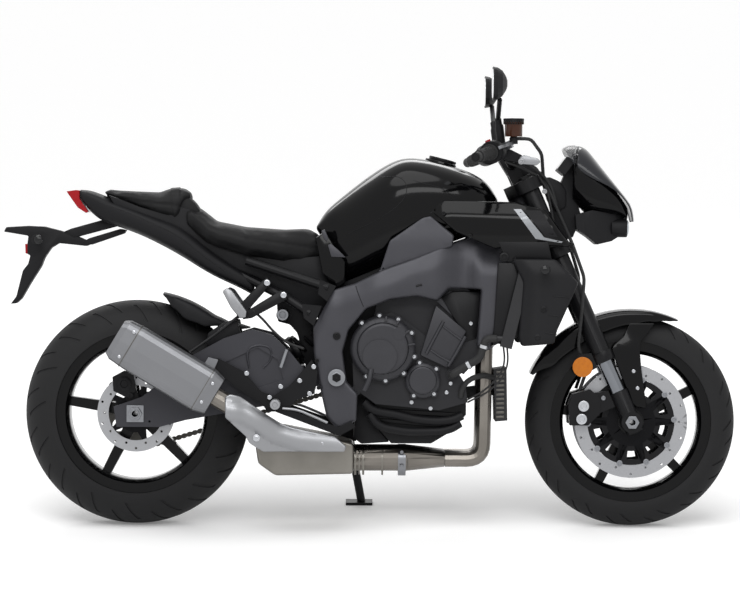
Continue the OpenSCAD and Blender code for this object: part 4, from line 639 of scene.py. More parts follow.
# %% [markdown]
# Painted tanks and tail shells are smooth all over. Each is drawn as a row of egg-shaped rings along the
# machine, the rings are bridged, and a subdivision surface runs a smooth skin through them. The flat
# end rings are creased so that they keep their edge.

# %% Smooth bodywork
RING, BODY_LEVELS, END_CREASE = 32, 2, 0.7


def squeeze(value, power):
    return math.copysign(abs(value) ** power, value)


def bridge(bm, first, second):
    """Join two rings of points with faces."""
    edges = [e for group in (set(first), set(second)) for e in bm.edges if set(e.verts) <= group]
    bmesh.ops.bridge_loops(bm, edges=edges)


def body_shell(stations, shares, half_width, edge, low_y=0.0):
    bm = bmesh.new()
    crease = bm.edges.layers.float.new("crease_edge")
    rings = []
    for (px, top_py, low_py), share in zip(stations, shares):
        top, low = seen(px, top_py), seen(px, low_py, low_y)
        made = bmesh.ops.create_circle(bm, segments=RING, radius=1.0)["verts"]
        for vert in made:
            side, up = squeeze(vert.co.x, 2 / edge), squeeze(vert.co.y, 2 / edge)
            vert.co = (top.x, side * share * half_width, (top.z + low.z + up * (top.z - low.z)) / 2)
        rings.append(made)
    for first, second in zip(rings, rings[1:]):
        bridge(bm, first, second)
    ends = [e for e in bm.edges if e.is_boundary]
    bmesh.ops.holes_fill(bm, edges=ends, sides=0)
    for edge_made in ends:
        edge_made[crease] = END_CREASE
    return bm


def smooth_body(name, node, bm, material, body, levels=BODY_LEVELS):
    piece = make_piece(name, bm, material, body, crease=math.pi)
    skin = piece.modifiers.new("skin", "SUBSURF")
    skin.levels = skin.render_levels = levels
    if node:
        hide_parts(node)
    return piece


# %% [markdown]
# Tank, tail and nose are rows of stations: a column of the photograph with its top and bottom there. A
# second row gives the share of the full width that each station has.

# %% Tank, tail and nose
TANK = [(316.5, 226, 230), (324, 213, 242), (331, 206, 253), (338, 200, 284.6), (355, 186, 282), (375, 171, 272),
        (393, 160.5, 265), (408, 156.5, 259.5), (435, 160.5, 248.5), (460, 168, 238.5), (478, 175.5, 232.5),
        (489, 184.5, 227.5), (496.5, 198, 221)]
TANK_SHARES = [0.42, 0.5, 0.58, 0.66, 0.78, 0.9, 0.98, 1, 0.97, 0.9, 0.8, 0.66, 0.44]
TANK_HALF = 0.158
tank_bm = body_shell(TANK, TANK_SHARES, TANK_HALF, edge=2.7, low_y=TANK_HALF)
tank = smooth_body("tank_shell", None, tank_bm, gloss_lacquer, "chassis")
TAIL = [(81, 191.2, 200), (90, 191.4, 213), (103, 196, 223.4), (120, 203.6, 228.4), (140, 210.6, 235.4),
        (160, 218.1, 245), (183, 225.6, 257.4), (206, 245.6, 272.4), (222, 256.6, 280.4), (236, 266, 286.5),
        (246, 271.5, 291.5), (254, 275, 296)]
TAIL_SHARES = [0.6, 0.66, 0.76, 0.84, 0.92, 0.97, 1, 0.97, 0.93, 0.9, 0.88, 0.86]
tail_bm = body_shell(TAIL, TAIL_SHARES, half_width=0.118, edge=3.4)
tail = smooth_body("tail_shell", "tail_cowl", tail_bm, matte_mould, "chassis")
NOSE = [(571, 153, 199), (577, 151.6, 206), (585, 154.4, 213), (594, 167, 213.6), (604, 178, 214),
        (614, 188.6, 214.4), (621, 198, 216), (626, 206, 219)]
NOSE_SHARES = [0.84, 0.92, 0.97, 0.97, 0.94, 0.88, 0.76, 0.58]
nose_bm = body_shell(NOSE, NOSE_SHARES, half_width=0.103, edge=3.2)
smooth_body("nose_shell", "nose_cowl", nose_bm, gloss_lacquer, "steering")

# %% [markdown]
# The filler stands on a low round neck, which is part of the tank on the real machine.

# %% Filler neck
CAP_PX, CAP_TILT = (440, 163), math.radians(14)
NECK_R, NECK_FLARE, NECK_DEPTH, NECK_DROP, NECK_ROUND = 0.045, 0.002, 0.041, 0.0158, 0.0015
neck = bmesh.new()
bmesh.ops.create_cone(neck, cap_ends=True, segments=48, radius1=NECK_R + NECK_FLARE, radius2=NECK_R,
                      depth=NECK_DEPTH)
bmesh.ops.translate(neck, verts=neck.verts, vec=(0, 0, -NECK_DROP))
rim = [e for e in neck.edges if all(v.co.z > 0 for v in e.verts)]
bmesh.ops.bevel(neck, geom=rim, offset=NECK_ROUND, affect="EDGES", segments=3, profile=0.5, material=-1)
bmesh.ops.transform(neck, verts=neck.verts,
                    matrix=Matrix.Translation(seen(*CAP_PX)) @ Matrix.Rotation(CAP_TILT, 4, "Y"))
make_piece("filler_neck", neck, gloss_lacquer, "chassis")
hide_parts("fuel_tank")

# %% [markdown]
# The frame spars, tank scoops and radiator shrouds are sculpted panels. Each starts as one flat face
# with its outline in the side view. Insets give it a rim, straight cuts give it a grid, and every point is
# then pushed out to the panel's depth at that place. The rim is rounded over and walls close the back.

# %% Panel maker
PANEL_GRID = 0.015
RIM_STEPS = (0.12, 0.2, 0.28, 0.4)


def px_of(x):
    return EYE_PX[0] + (x - EYE_X) / PX


def py_of(z):
    return EYE_PX[1] - (z - EYE_Z) / PX


def ease(t):
    t = min(max(t, 0.0), 1.0)
    return t * t * (3 - 2 * t)


def grow(at, start, end):
    """Nought at the start, one at the end, eased between them."""
    return ease((at - start) / (end - start))


def through(marks, values, at):
    """Value at a place on a smooth line through values at given marks."""
    for a, b, u, v in zip(marks, marks[1:], values, values[1:]):
        if at <= b:
            return u + (v - u) * ease((at - a) / (b - a))
    return values[-1]


def off_line(point, a, b):
    """Distance of a point from the stretch between a and b."""
    run = b - a
    share = min(max((point - a).dot(run) / max(run.length_squared, 1e-12), 0.0), 1.0)
    return (point - a - run * share).length


def everything(bm):
    return bm.verts[:] + bm.edges[:] + bm.faces[:]


def verts_of(geom):
    return [g for g in geom if isinstance(g, bmesh.types.BMVert)]


def edges_of(geom):
    return [g for g in geom if isinstance(g, bmesh.types.BMEdge)]


def panel(outline, y_seen, depth, thick, rim, corner=0.005, grid=PANEL_GRID):
    bm = bmesh.new()
    spots = [seen(px, py, -y_seen) for px, py in outline]
    bm.faces.new([bm.verts.new((p.x, 0, p.z)) for p in spots])
    bmesh.ops.bevel(bm, geom=bm.verts[:], offset=corner, affect="VERTICES", segments=3, profile=0.5, material=-1,
                    clamp_overlap=True)
    border = [(e.verts[0].co.copy(), e.verts[1].co.copy()) for e in bm.edges]
    inner = bm.faces[:]
    for share in RIM_STEPS:
        bmesh.ops.inset_region(bm, faces=inner, thickness=rim * share, use_even_offset=True, use_boundary=True)
    for axis in (0, 2):
        low, high = (f(v.co[axis] for v in bm.verts) for f in (min, max))
        normal = Vector((axis == 0, 0, axis == 2))
        for i in range(1, int((high - low) / grid) + 1):
            bmesh.ops.bisect_plane(bm, geom=everything(bm), dist=CLOSE, plane_no=normal,
                                   plane_co=normal * (low + i * grid))
    for vert in bm.verts:
        near = min(off_line(vert.co, a, b) for a, b in border)
        over = 1 - min(near / rim, 1.0)
        vert.co.y = -depth(px_of(vert.co.x), py_of(vert.co.z)) + rim * (1 - math.sqrt(1 - over * over))
    open_edges = [e for e in bm.edges if e.is_boundary]
    walls = bmesh.ops.extrude_edge_only(bm, edges=open_edges)["geom"]
    for vert in verts_of(walls):
        vert.co.y = -depth(px_of(vert.co.x), py_of(vert.co.z)) + thick
    bmesh.ops.edgeloop_fill(bm, edges=[e for e in edges_of(walls) if e.is_boundary])
    return bm


def pair(bm):
    """Add the same shape on the other side of the machine."""
    twin = bmesh.ops.duplicate(bm, geom=everything(bm))["geom"]
    bmesh.ops.scale(bm, vec=(1, -1, 1), verts=verts_of(twin))
    return bm


# %% [markdown]
# One casting makes each side of the frame: it bows out round the engine, and a leg runs down to the
# front engine mount. Its top leans in, which gives the pale band along its upper edge.

# %% Frame spars
SPAR = [(334, 290), (355, 283.6), (381, 270.7), (420, 256), (452, 243), (484, 232), (519, 217), (519, 258),
        (512, 276), (503, 312), (491, 350), (477, 346), (480, 310), (481.5, 289), (450, 288), (438, 300.5),
        (417, 296), (391, 299), (366, 309), (349, 330), (343, 352), (347, 382), (358, 394), (357, 421), (339, 432),
        (327, 418), (321, 392), (314, 355), (313.4, 327)]
SPAR_TOP = ([313, 334, 355, 381, 420, 452, 484, 519], [327, 290, 283.6, 270.7, 256, 243, 232, 217])
SPAR_LEG, SPAR_LEAN, SPAR_HOLLOW = 0.182, 0.014, 0.006
SPAR_PLAN = ([300, 335, 380, 430, 468, 497, 512, 525], [0.172, 0.18, 0.2, 0.192, 0.154, 0.124, 0.074, 0.066])


def spar_depth(px, py):
    bow = through(*SPAR_PLAN, px)
    bow += (SPAR_LEG - bow) * grow(py, 246, 272) * grow(px, 462, 478)
    below = py - through(*SPAR_TOP, px)
    lean_in = SPAR_LEAN * (1 - grow(below, 0, 15)) if px < 500 else 0.0
    hollow = SPAR_HOLLOW * math.exp(-((py - 300) / 9) ** 2) * grow(px, 380, 410) * (1 - grow(px, 440, 460))
    return bow - lean_in - hollow


spars = make_piece("frame_castings", pair(panel(SPAR, 0.2, spar_depth, thick=0.040, rim=0.010)), frame_coat,
                   "chassis")
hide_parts("frame_spars")
SIDE_PANEL = [(379, 272.5), (389.5, 240.5), (422, 217.5), (430.5, 215.5), (454, 235), (452, 246)]


def side_depth(px, py):
    return 0.170 - 0.008 * grow(py, 244, 214)


make_piece("side_panels", pair(panel(SIDE_PANEL, 0.17, side_depth, thick=0.007, rim=0.005)), frame_coat, "chassis")

# %% [markdown]
# The scoops beside the tank and the shrouds round the radiator are moulded shells. The scoop swells
# towards the front and its top edge rolls inwards. The shroud folds back along a slanting line.

# %% Scoops and shrouds
SCOOP = [(429, 209), (444, 199.5), (516, 201.5), (545, 209), (573, 245.5), (494, 248), (456, 232)]


def scoop_depth(px, py):
    swell = 0.168 + 0.024 * grow(px, 425, 495)
    top = through([429, 444, 516, 545, 573], [209, 199.5, 201.5, 209, 245], px)
    roll = 0.018 * (1 - grow(py - top, 0, 17))
    keel = 0.010 * grow(py, 232, 248)
    return swell - roll - keel


scoops = make_piece("tank_scoops", pair(panel(SCOOP, 0.192, scoop_depth, thick=0.012, rim=0.007)), gloss_lacquer,
                    "chassis")
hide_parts("tank_covers")
SHROUD = [(512, 258), (556, 258.5), (579, 282), (557, 331), (555, 343), (522, 346), (519, 337), (523.5, 282)]


def shroud_depth(px, py):
    fold = through([258, 282, 346], [524, 534, 531], py)
    behind, above, ahead = grow(fold - px, 0, 16), grow(py, 272, 258), grow(px, 556, 578)
    return 0.234 - 0.020 * behind - 0.010 * above - 0.006 * ahead


shroud_panel = panel(SHROUD, 0.235, shroud_depth, thick=0.016, rim=0.009, corner=0.008)
shrouds = make_piece("radiator_panels", pair(shroud_panel), shroud_mould, "chassis")
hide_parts("radiator_shrouds")

# %% [markdown]
# Bolts hold every cover on. One small maker draws a socket-head bolt: a short cylinder whose top is inset
# once for the chamfer and again for the socket. A place matrix points it out of the side of the machine.
# Many small pieces are a few such shapes together, so one helper runs a maker over rows of values.

# %% Bolts
OUT_RIGHT = Matrix.Rotation(math.radians(90), 4, "X")
CHAMFER, CHAMFER_H, SOCKET_RIM, SOCKET_WALL, SOCKET_H = 0.16, 0.14, 0.28, 0.06, 0.55
BOLT_H = 0.006


def on_right(px, py, y):
    """Place on the right side of the machine, with Z pointing out of it."""
    return Matrix.Translation(seen(px, py, -y)) @ OUT_RIGHT


def new_verts(bm, before):
    return [v for v in bm.verts if v not in before]


def bolt(bm, place, r, h=BOLT_H, sides=18, socket=True):
    before = set(bm.verts)
    made = bmesh.ops.create_cone(bm, cap_ends=True, segments=sides, radius1=r, radius2=r, depth=h)["verts"]
    bmesh.ops.translate(bm, verts=made, vec=(0, 0, h / 2))
    top = max({f for v in made for f in v.link_faces}, key=lambda f: f.calc_center_median().z)
    bmesh.ops.inset_region(bm, faces=[top], thickness=r * CHAMFER, depth=h * CHAMFER_H)
    if socket:
        bmesh.ops.inset_region(bm, faces=[top], thickness=r * SOCKET_RIM)
        bmesh.ops.inset_region(bm, faces=[top], thickness=r * SOCKET_WALL, depth=-h * SOCKET_H)
    bmesh.ops.transform(bm, matrix=place, verts=new_verts(bm, before))


def right_bolt(bm, px, py, y, *shape):
    bolt(bm, on_right(px, py, y), *shape)


def piece_of(maker, name, rows, material, body, both=False):
    """One piece from rows of values for a maker, on both sides of the machine if asked."""
    bm = bmesh.new()
    for row in rows:
        maker(bm, *row)
    return make_piece(name, pair(bm) if both else bm, material, body)


def round_the(px, py, radius, y, angles):
    """Places on a circle round a cover, angles as on the side view (0 forward, 90 up)."""
    middle = seen(px, py, -y)
    for angle in angles:
        turn = math.radians(angle)
        spot = middle + Vector((math.cos(turn), 0, math.sin(turn))) * radius
        yield Matrix.Translation((spot.x, -y, spot.z)) @ OUT_RIGHT


# %% [markdown]
# Bright bolts ring the engine covers, and dark screws hold the panels.

# %% Engine bolts and panel screws
CLUTCH_PX, STARTER_PX, BLOCK_Y = (383, 348), (423, 380), 0.140
CLUTCH_LUGS, STARTER_LUGS = (-50, -15, 28, 62, 96, 130, -85, -120), (40, 100, -120, -50)
bright_bolts = bmesh.new()
for spot in round_the(*CLUTCH_PX, 0.092, BLOCK_Y + 0.0216, CLUTCH_LUGS):
    bolt(bright_bolts, spot, 0.0055)
for spot in round_the(*STARTER_PX, 0.050, BLOCK_Y + 0.0129, STARTER_LUGS):
    bolt(bright_bolts, spot, 0.0052)
for px, py, y in ((451, 383, BLOCK_Y), (447, 392, BLOCK_Y), (412, 402, BLOCK_Y), (431, 408, BLOCK_Y),
                  (471, 323, 0.1342), (484.5, 342, 0.180)):
    right_bolt(bright_bolts, px, py, y, 0.0058)
make_piece("engine_bolts", bright_bolts, bolt_steel, "chassis")
SCREWS = ((543.9, 308.7, 0.231, 0.009), (537.9, 337, 0.229, 0.009), (443, 213, 0.172, 0.006),
          (470, 235.5, 0.184, 0.006), (336.8, 336.2, 0.179, 0.011), (392, 286, 0.191, 0.0045),
          (403, 284, 0.190, 0.0055), (317, 361, 0.184, 0.006), (319, 388, 0.184, 0.006))
piece_of(right_bolt, "panel_screws", [(*screw, 0.005) for screw in SCREWS], black_metal, "chassis",
         both=True)

# %% [markdown]
# The swingarm pivot shows as a bright ring round a deep hexagon socket on each side of the frame.

# %% Pivot rings
PIVOT = (336.9, 377.9)
PIVOT_RINGS = [(*PIVOT, 0.191, 0.024, 0.004, 40), (*PIVOT, 0.195, 0.017, 0.004, 6)]
piece_of(right_bolt, "pivot_rings", PIVOT_RINGS, steel, "chassis", both=True)

# %% [markdown]
# Black oil lines with a soft bend run along the sump. A curve with a round section is the quick way to a
# tube. It is turned into a mesh before the machine leans. The clutch arm is a line of the same kind.

# %% Oil lines
LINE_STEPS = 8


def round_line(bm, points, radius, sides=4):
    curve = bpy.data.curves.new("line", "CURVE")
    curve.dimensions, curve.use_fill_caps = "3D", True
    curve.bevel_depth, curve.bevel_resolution = radius, sides
    spline = curve.splines.new("BEZIER")
    spline.bezier_points.add(len(points) - 1)
    for knot, point in zip(spline.bezier_points, points):
        knot.co = point
        knot.handle_left_type = knot.handle_right_type = "AUTO"
    spline.resolution_u = LINE_STEPS
    holder = bpy.data.objects.new("line", curve)
    mesh = bpy.data.meshes.new_from_object(holder)
    bm.from_mesh(mesh)
    bpy.data.objects.remove(holder)
    bpy.data.meshes.remove(mesh)


def side_line(bm, spots, radius):
    round_line(bm, [seen(px, py, -y) for px, py, y in spots], radius)


SUMP_LINES = [
    ([(364, 402, 0.130), (372, 409, 0.128), (396, 414.5, 0.124), (424, 420, 0.122), (452, 419.5, 0.122),
      (463, 415, 0.118)], 0.0125),
    ([(370, 414, 0.126), (378, 424, 0.126), (398, 430, 0.122), (424, 431.5, 0.120), (450, 429, 0.120),
      (461, 423, 0.114)], 0.0115)]
CLUTCH_ARM = [(371.5, 369, 0.196), (369.5, 379, 0.199), (364.5, 390.5, 0.196)]
piece_of(side_line, "sump_lines", SUMP_LINES, matte_mould, "chassis")
piece_of(side_line, "clutch_arm", [(CLUTCH_ARM, 0.0075)], engine_coat, "chassis")

# %% [markdown]
# Radial webs stiffen the upper front of the clutch cover. Each is one bevelled bar laid along a radius.

# %% Clutch cover webs
WEB_SIZE, WEB_REACH, WEB_Y = (0.030, 0.0055, 0.010), 0.076, 0.176
webs = bmesh.new()
for angle in (8, 34, 60, 84):
    turn = math.radians(angle)
    spot = seen(*CLUTCH_PX, -BLOCK_Y) + Vector((math.cos(turn), 0, math.sin(turn))) * WEB_REACH
    place = Matrix.Translation((spot.x, -WEB_Y, spot.z)) @ OUT_RIGHT @ Matrix.Rotation(turn, 4, "Z")
    bar = bmesh.ops.create_cube(webs, size=1.0)["verts"]
    bmesh.ops.scale(webs, vec=WEB_SIZE, verts=bar)
    bmesh.ops.transform(webs, matrix=place, verts=bar)
bmesh.ops.bevel(webs, geom=webs.edges[:], offset=0.0012, affect="EDGES", segments=2, profile=0.5, material=-1)
make_piece("cover_webs", webs, engine_coat, "chassis")

# %% [markdown]
# Spring bands and a clamp hold the header pipes to the collector. Each band is a small rectangle spun
# once round the pipe's axis.

# %% Exhaust bands
BAND_STEPS = 48


def band(bm, place, inner, outer, width):
    """A ring of rectangular section round the X axis of a place."""
    before = set(bm.verts)
    corners = ((-1, inner), (1, inner), (1, outer), (-1, outer))
    spin_closed(bm, [bm.verts.new((side * width / 2, 0, r)) for side, r in corners], (1, 0, 0), BAND_STEPS)
    bmesh.ops.transform(bm, matrix=place, verts=new_verts(bm, before))


COLLECTOR_PY, COLLECTOR_R, CLAMP_PX = 459.6, 0.036, 402.5
bands = bmesh.new()
for px, outer, width in ((356, 0.0440, 0.006), (360, 0.0430, 0.004), (364, 0.0440, 0.006), (383, 0.0445, 0.005)):
    band(bands, Matrix.Translation(seen(px, COLLECTOR_PY)), COLLECTOR_R, outer, width)
make_piece("collector_bands", bands, box_steel, "chassis")
clamp = bmesh.new()
band(clamp, Matrix.Translation(seen(CLAMP_PX, COLLECTOR_PY)), COLLECTOR_R, 0.0455, 0.022)
for py in (452, 466):
    right_bolt(clamp, CLAMP_PX, py, 0.0445, 0.006, BOLT_H, 6)
make_piece("header_clamp", clamp, steel, "chassis")

# %% [markdown]
# The silencer can has a welded cap at each end. Narrow bands follow its rounded section, and rivets
# line the rear cap. The bands are rings of the same egg shape, a hair larger than the can.

# %% Silencer trim
CAN_BACK, CAN_FRONT, CAN_Y = (116, 338), (215, 397), 0.238
CAN_HALF, CAN_POWER, CAN_SEAM_GROW = (0.056, 0.066), 0.4, 1.006
can_from, can_to = seen(*CAN_BACK, -CAN_Y), seen(*CAN_FRONT, -CAN_Y)
can_run = (can_to - can_from).length
CAN_PLACE = (Matrix.Translation(can_from)
             @ Matrix.Rotation(math.atan2(can_from.z - can_to.z, can_to.x - can_from.x), 4, "Y"))


def can_ring(bm, share):
    made = bmesh.ops.create_circle(bm, segments=64, radius=1.0)["verts"]
    for vert in made:
        side, up = squeeze(vert.co.x, CAN_POWER), squeeze(vert.co.y, CAN_POWER)
        vert.co = (share * can_run, side * CAN_HALF[0] * CAN_SEAM_GROW, up * CAN_HALF[1] * CAN_SEAM_GROW)
    return made


can_seams = bmesh.new()
for start, end in ((0.150, 0.157), (0.880, 0.886)):
    bridge(can_seams, can_ring(can_seams, start), can_ring(can_seams, end))
bmesh.ops.solidify(can_seams, geom=can_seams.faces[:], thickness=0.0012)
bmesh.ops.transform(can_seams, matrix=CAN_PLACE, verts=can_seams.verts)
make_piece("silencer_seams", can_seams, dark_steel, "chassis")
can_rivets = bmesh.new()
for share, up in ((0.120, 0.040), (0.120, -0.040), (0.93, 0.03), (0.93, -0.03)):
    bolt(can_rivets, Matrix.Translation((share * can_run, -0.0555, up)) @ OUT_RIGHT, 0.0045, 0.0025, 16, False)
bmesh.ops.transform(can_rivets, matrix=CAN_PLACE, verts=can_rivets.verts)
make_piece("silencer_rivets", can_rivets, bolt_steel, "chassis")
shield_bolts = bmesh.new()
for px, py, y in ((257, 438.5, 0.262), (322, 444, 0.2315)):
    right_bolt(shield_bolts, px, py, y, 0.010, 0.003, 24, False)
    right_bolt(shield_bolts, px, py, y + 0.003, 0.0062, 0.004)
make_piece("shield_bolts", shield_bolts, bolt_steel, "chassis")

# %% [markdown]
# The front brakes show two bright piston caps on each caliper. Bolts clamp the axle in the fork feet.

# %% Brake caps and axle bolts
CALIPER_OUT, FOOT_OUT = 0.1178, 0.109
piece_of(right_bolt, "caliper_caps", [(px, py, CALIPER_OUT, 0.0150, 0.004, 32) for px, py in (
    (584.3, 405.3), (582.3, 418.3))], bolt_steel, "steering", both=True)
piece_of(right_bolt, "caliper_bolts", [(px, py, FOOT_OUT, 0.0065) for px, py in (
    (611, 381), (604, 397))], steel, "steering", both=True)

# %% [markdown]
# Lamps and glass. A lens is a flattened dome in front of its lamp, the mirror is a thin plate let into
# the back of its shell, and each turn signal ends in a smoked dome.

# %% Lenses and glass
FORWARD = Matrix.Rotation(math.radians(90), 4, "Y")
DOME_STEPS, DOME_CUT = (28, 14), -0.05


def dome(bm, place, radius, height):
    made = bmesh.ops.create_uvsphere(bm, u_segments=DOME_STEPS[0], v_segments=DOME_STEPS[1], radius=1.0)["verts"]
    bmesh.ops.delete(bm, geom=[v for v in made if v.co.z < DOME_CUT], context="VERTS")
    made = [v for v in made if v.is_valid]
    bmesh.ops.scale(bm, vec=(radius, radius, height), verts=made)
    bmesh.ops.transform(bm, matrix=place, verts=made)
    bmesh.ops.holes_fill(bm, edges=[e for e in bm.edges if e.is_boundary], sides=0)


def draw_out(bm, faces, vec):
    """Extrude faces and move the new ones."""
    drawn = bmesh.ops.extrude_face_region(bm, geom=faces)["geom"]
    bmesh.ops.translate(bm, vec=vec, verts=verts_of(drawn))


LAMP_AT = seen(625.4, 227) + Vector((0, -0.044, 0))
piece_of(dome, "headlamp_lenses", [(Matrix.Translation(LAMP_AT) @ FORWARD, 0.0235, 0.007)], lamp_glass,
         "steering", both=True)
REAR_SIGNAL, FRONT_SIGNAL = (38, 241, 0.092 + 0.032), (545, 269, 0.2353 + 0.0736)
piece_of(dome, "signal_lenses", [(on_right(*end), 0.0125, 0.006) for end in (REAR_SIGNAL, FRONT_SIGNAL)], smoke,
         "chassis", both=True)
MIRROR_Y, MIRROR_PX = 0.342, (499, 83)
GLASS_HALF, GLASS_BACK, GLASS_THICK, GLASS_POWER = (0.069, 0.041), 0.0205, 0.0015, 2 / 3
mirror_glass = bmesh.new()
glass_verts = bmesh.ops.create_circle(mirror_glass, cap_ends=True, segments=48, radius=1.0)["verts"]
mirror_at = seen(*MIRROR_PX, -MIRROR_Y)
for vert in glass_verts:
    side, up = squeeze(vert.co.x, GLASS_POWER), squeeze(vert.co.y, GLASS_POWER)
    vert.co = mirror_at + Vector((-GLASS_BACK, side * GLASS_HALF[0], up * GLASS_HALF[1]))
draw_out(mirror_glass, mirror_glass.faces[:], (GLASS_THICK, 0, 0))
make_piece("mirror_glass", pair(mirror_glass), looking_glass, "steering")

# %% [markdown]
# The instrument shows a dark glass panel to the rider. It lies on the meter's sloping back, so its four
# corners are taken from that slope.

# %% Meter glass
METER_HALF, METER_GLASS_HALF, METER_LIFT, METER_SINK = 0.082, 0.074, 0.0012, 0.9
meter_bm = bmesh.new()
low, high = seen(557.6, 167.6, METER_HALF), seen(566.3, 155.9, METER_HALF)
lift = Vector((high.z - low.z, 0, low.x - high.x)).normalized() * -METER_LIFT
low, high = low + lift, high + lift
corners = [(c.x, side * METER_GLASS_HALF, c.z) for c, side in ((low, -1), (low, 1), (high, 1), (high, -1))]
meter_bm.faces.new([meter_bm.verts.new(corner) for corner in corners])
draw_out(meter_bm, meter_bm.faces[:], -lift * METER_SINK)
make_piece("meter_glass", meter_bm, smoke, "steering")

# %% [markdown]
# Rubber grips have raised rings for the hand. The bar is swept, so the rings are made in the fork's own
# frame, along the line from the bar's shoulder to its end.

# %% Grip rings
RAKE = math.radians(24)
FORK = Matrix.Translation((WHEELBASE, 0, FRONT_R)) @ Matrix.Rotation(-RAKE, 4, "Y")
BAR_HALF = 0.400
BAR_END, BAR_SHOULDER = Vector((-0.1144, -BAR_HALF, 0.8634)), Vector((-0.0300, -0.142, 0.8584))
RING_FROM, RING_PITCH, RING_COUNT = 0.262, 0.0072, 14
STOP_Y, STOP_UP = 0.228, 0.029
bar_way = (BAR_END - BAR_SHOULDER).normalized()


def bar_place(y):
    spot = BAR_END + bar_way * ((BAR_HALF - y) / bar_way.y)
    return FORK @ Matrix.Translation(spot) @ bar_way.to_track_quat("Z", "Y").to_matrix().to_4x4()


grip_places = [bar_place(RING_FROM + i * RING_PITCH) @ FORWARD for i in range(RING_COUNT)]
piece_of(band, "grip_rings", [(place, 0.0160, 0.0178, 0.0030) for place in grip_places], rubber, "steering",
         both=True)
stop_place = (bar_place(STOP_Y) @ Matrix.Translation((0, STOP_UP, 0))
              @ Matrix.Rotation(math.radians(-90), 4, "X"))
piece_of(bolt, "stop_switch", [(stop_place, 0.008, BOLT_H, 20, False)], red_lens, "steering")

# %% [markdown]
# The brake fluid cup has a black screw lid over its brown pot. The lid is knurled by pulling every
# second strip of its wall inwards.

# %% Reservoir lid
CUP = (512.8, 127, -0.214)
LID_R, LID_TOP_R, LID_DEPTH, LID_UP, LID_ROUND = 0.0288, 0.0284, 0.0165, 0.0175, 0.0014
KNURL_RIM, KNURL_DEPTH = 0.0006, 0.0008
lid = bmesh.new()
bmesh.ops.create_cone(lid, cap_ends=True, segments=48, radius1=LID_R, radius2=LID_TOP_R, depth=LID_DEPTH)
walls = [f for f in lid.faces if abs(f.normal.z) < 0.5]
bmesh.ops.inset_individual(lid, faces=walls[::2], thickness=KNURL_RIM, depth=-KNURL_DEPTH)
rim_edges = [e for e in lid.edges if all(v.co.z > 0.008 for v in e.verts)]
bmesh.ops.bevel(lid, geom=rim_edges, offset=LID_ROUND, affect="EDGES", segments=2, profile=0.5, material=-1)
bmesh.ops.translate(lid, verts=lid.verts, vec=seen(*CUP) + Vector((0, 0, LID_UP)))
make_piece("reservoir_lid", lid, black_metal, "steering")

# %% [markdown]
# Two pale stripes and a dull inlay cross the front of each scoop, and thin dark seams part the tank's knee
# panels. They follow the curved skin: each point is found by a ray from the side, and a thin strip or line
# is laid there.

# %% Stripes and seams
RAY_FROM, SKIN_Y, STRIPE_LIFT, STRIPE_STEPS, SEAM_R = 0.6, 0.2, 0.0006, 14, 0.0009


def skin_of(piece):
    return BVHTree.FromObject(piece, bpy.context.evaluated_depsgraph_get())


def on_skin(tree, px, py, lift):
    spot = seen(px, py, -SKIN_Y)
    start, way = PARK @ Vector((spot.x, -RAY_FROM, spot.z)), PARK.to_3x3() @ Vector((0, 1, 0))
    hit, normal, _, _ = tree.ray_cast(start, way)
    return UPRIGHT @ (hit + normal * lift) if hit else spot


def skin_line(bm, tree, spots, radius, sides=2):
    round_line(bm, [on_skin(tree, px, py, 0.0) for px, py in spots], radius, sides)


def stripe(bm, tree, upper, lower):
    """A strip between two lines of the side view, each from one point to another."""
    edges = []
    for (from_px, from_py), (to_px, to_py) in (upper, lower):
        row = []
        for i in range(STRIPE_STEPS + 1):
            share = i / STRIPE_STEPS
            px, py = from_px + (to_px - from_px) * share, from_py + (to_py - from_py) * share
            row.append(bm.verts.new(on_skin(tree, px, py, STRIPE_LIFT)))
        edges += [bm.edges.new(two) for two in zip(row, row[1:])]
    bmesh.ops.bridge_loops(bm, edges=edges)


scoop_skin, tank_skin, tail_skin = skin_of(scoops), skin_of(tank), skin_of(tail)
stripes = bmesh.new()
stripe(stripes, scoop_skin, [(513.5, 208.5), (535.5, 238)], [(521, 208.5), (544, 236.5)])
stripe(stripes, scoop_skin, [(535.5, 238), (561, 242)], [(544, 236.5), (563, 240.8)])
make_piece("scoop_stripes", pair(stripes), stripe_grey, "chassis", recalc=False)
inlay = bmesh.new()
stripe(inlay, scoop_skin, [(523.4, 209.4), (545.6, 235.6)], [(540.6, 209.6), (557.6, 236.2)])
make_piece("scoop_inlays", pair(inlay), shroud_mould, "chassis", recalc=False)
SEAMS = [
    (tank_skin, [(366, 179), (385, 176.5), (400, 177.5), (406, 185), (404, 197), (394, 208), (376, 220), (352, 232),
                 (334, 243)], SEAM_R),
    (tank_skin, [(401, 177), (420, 182), (448, 192), (452, 198), (440, 206), (430, 213)], SEAM_R),
    (tail_skin, [(96, 203), (124, 213), (150, 224), (178, 238), (204, 258), (224, 272)], SEAM_R)]
piece_of(skin_line, "panel_seams", SEAMS, black_metal, "chassis", both=True)

# %% [markdown]
# Under the seats and behind the open frame the real machine is packed with black mouldings: seat base,
# airbox, gearbox back. Each is an outline from the side view drawn out across the machine, and a bevel
# rounds its edges, so no daylight shows where the real machine is closed.

# %% Black mouldings


def slab(bm, outline, y_seen, y_from, y_to, soft=0.004):
    """Draw a side outline out across the machine; distances are out to the right."""
    before = set(bm.verts)
    corners = [bm.verts.new(seen(px, py, -y_seen)) for px, py in outline]
    for corner in corners:
        corner.co.y = -y_from
    draw_out(bm, [bm.faces.new(corners)], (0, y_from - y_to, 0))
    edges = {e for v in new_verts(bm, before) for e in v.link_edges}
    bmesh.ops.bevel(bm, geom=list(edges), offset=soft, affect="EDGES", segments=2, profile=0.5, material=-1,
                    clamp_overlap=True)


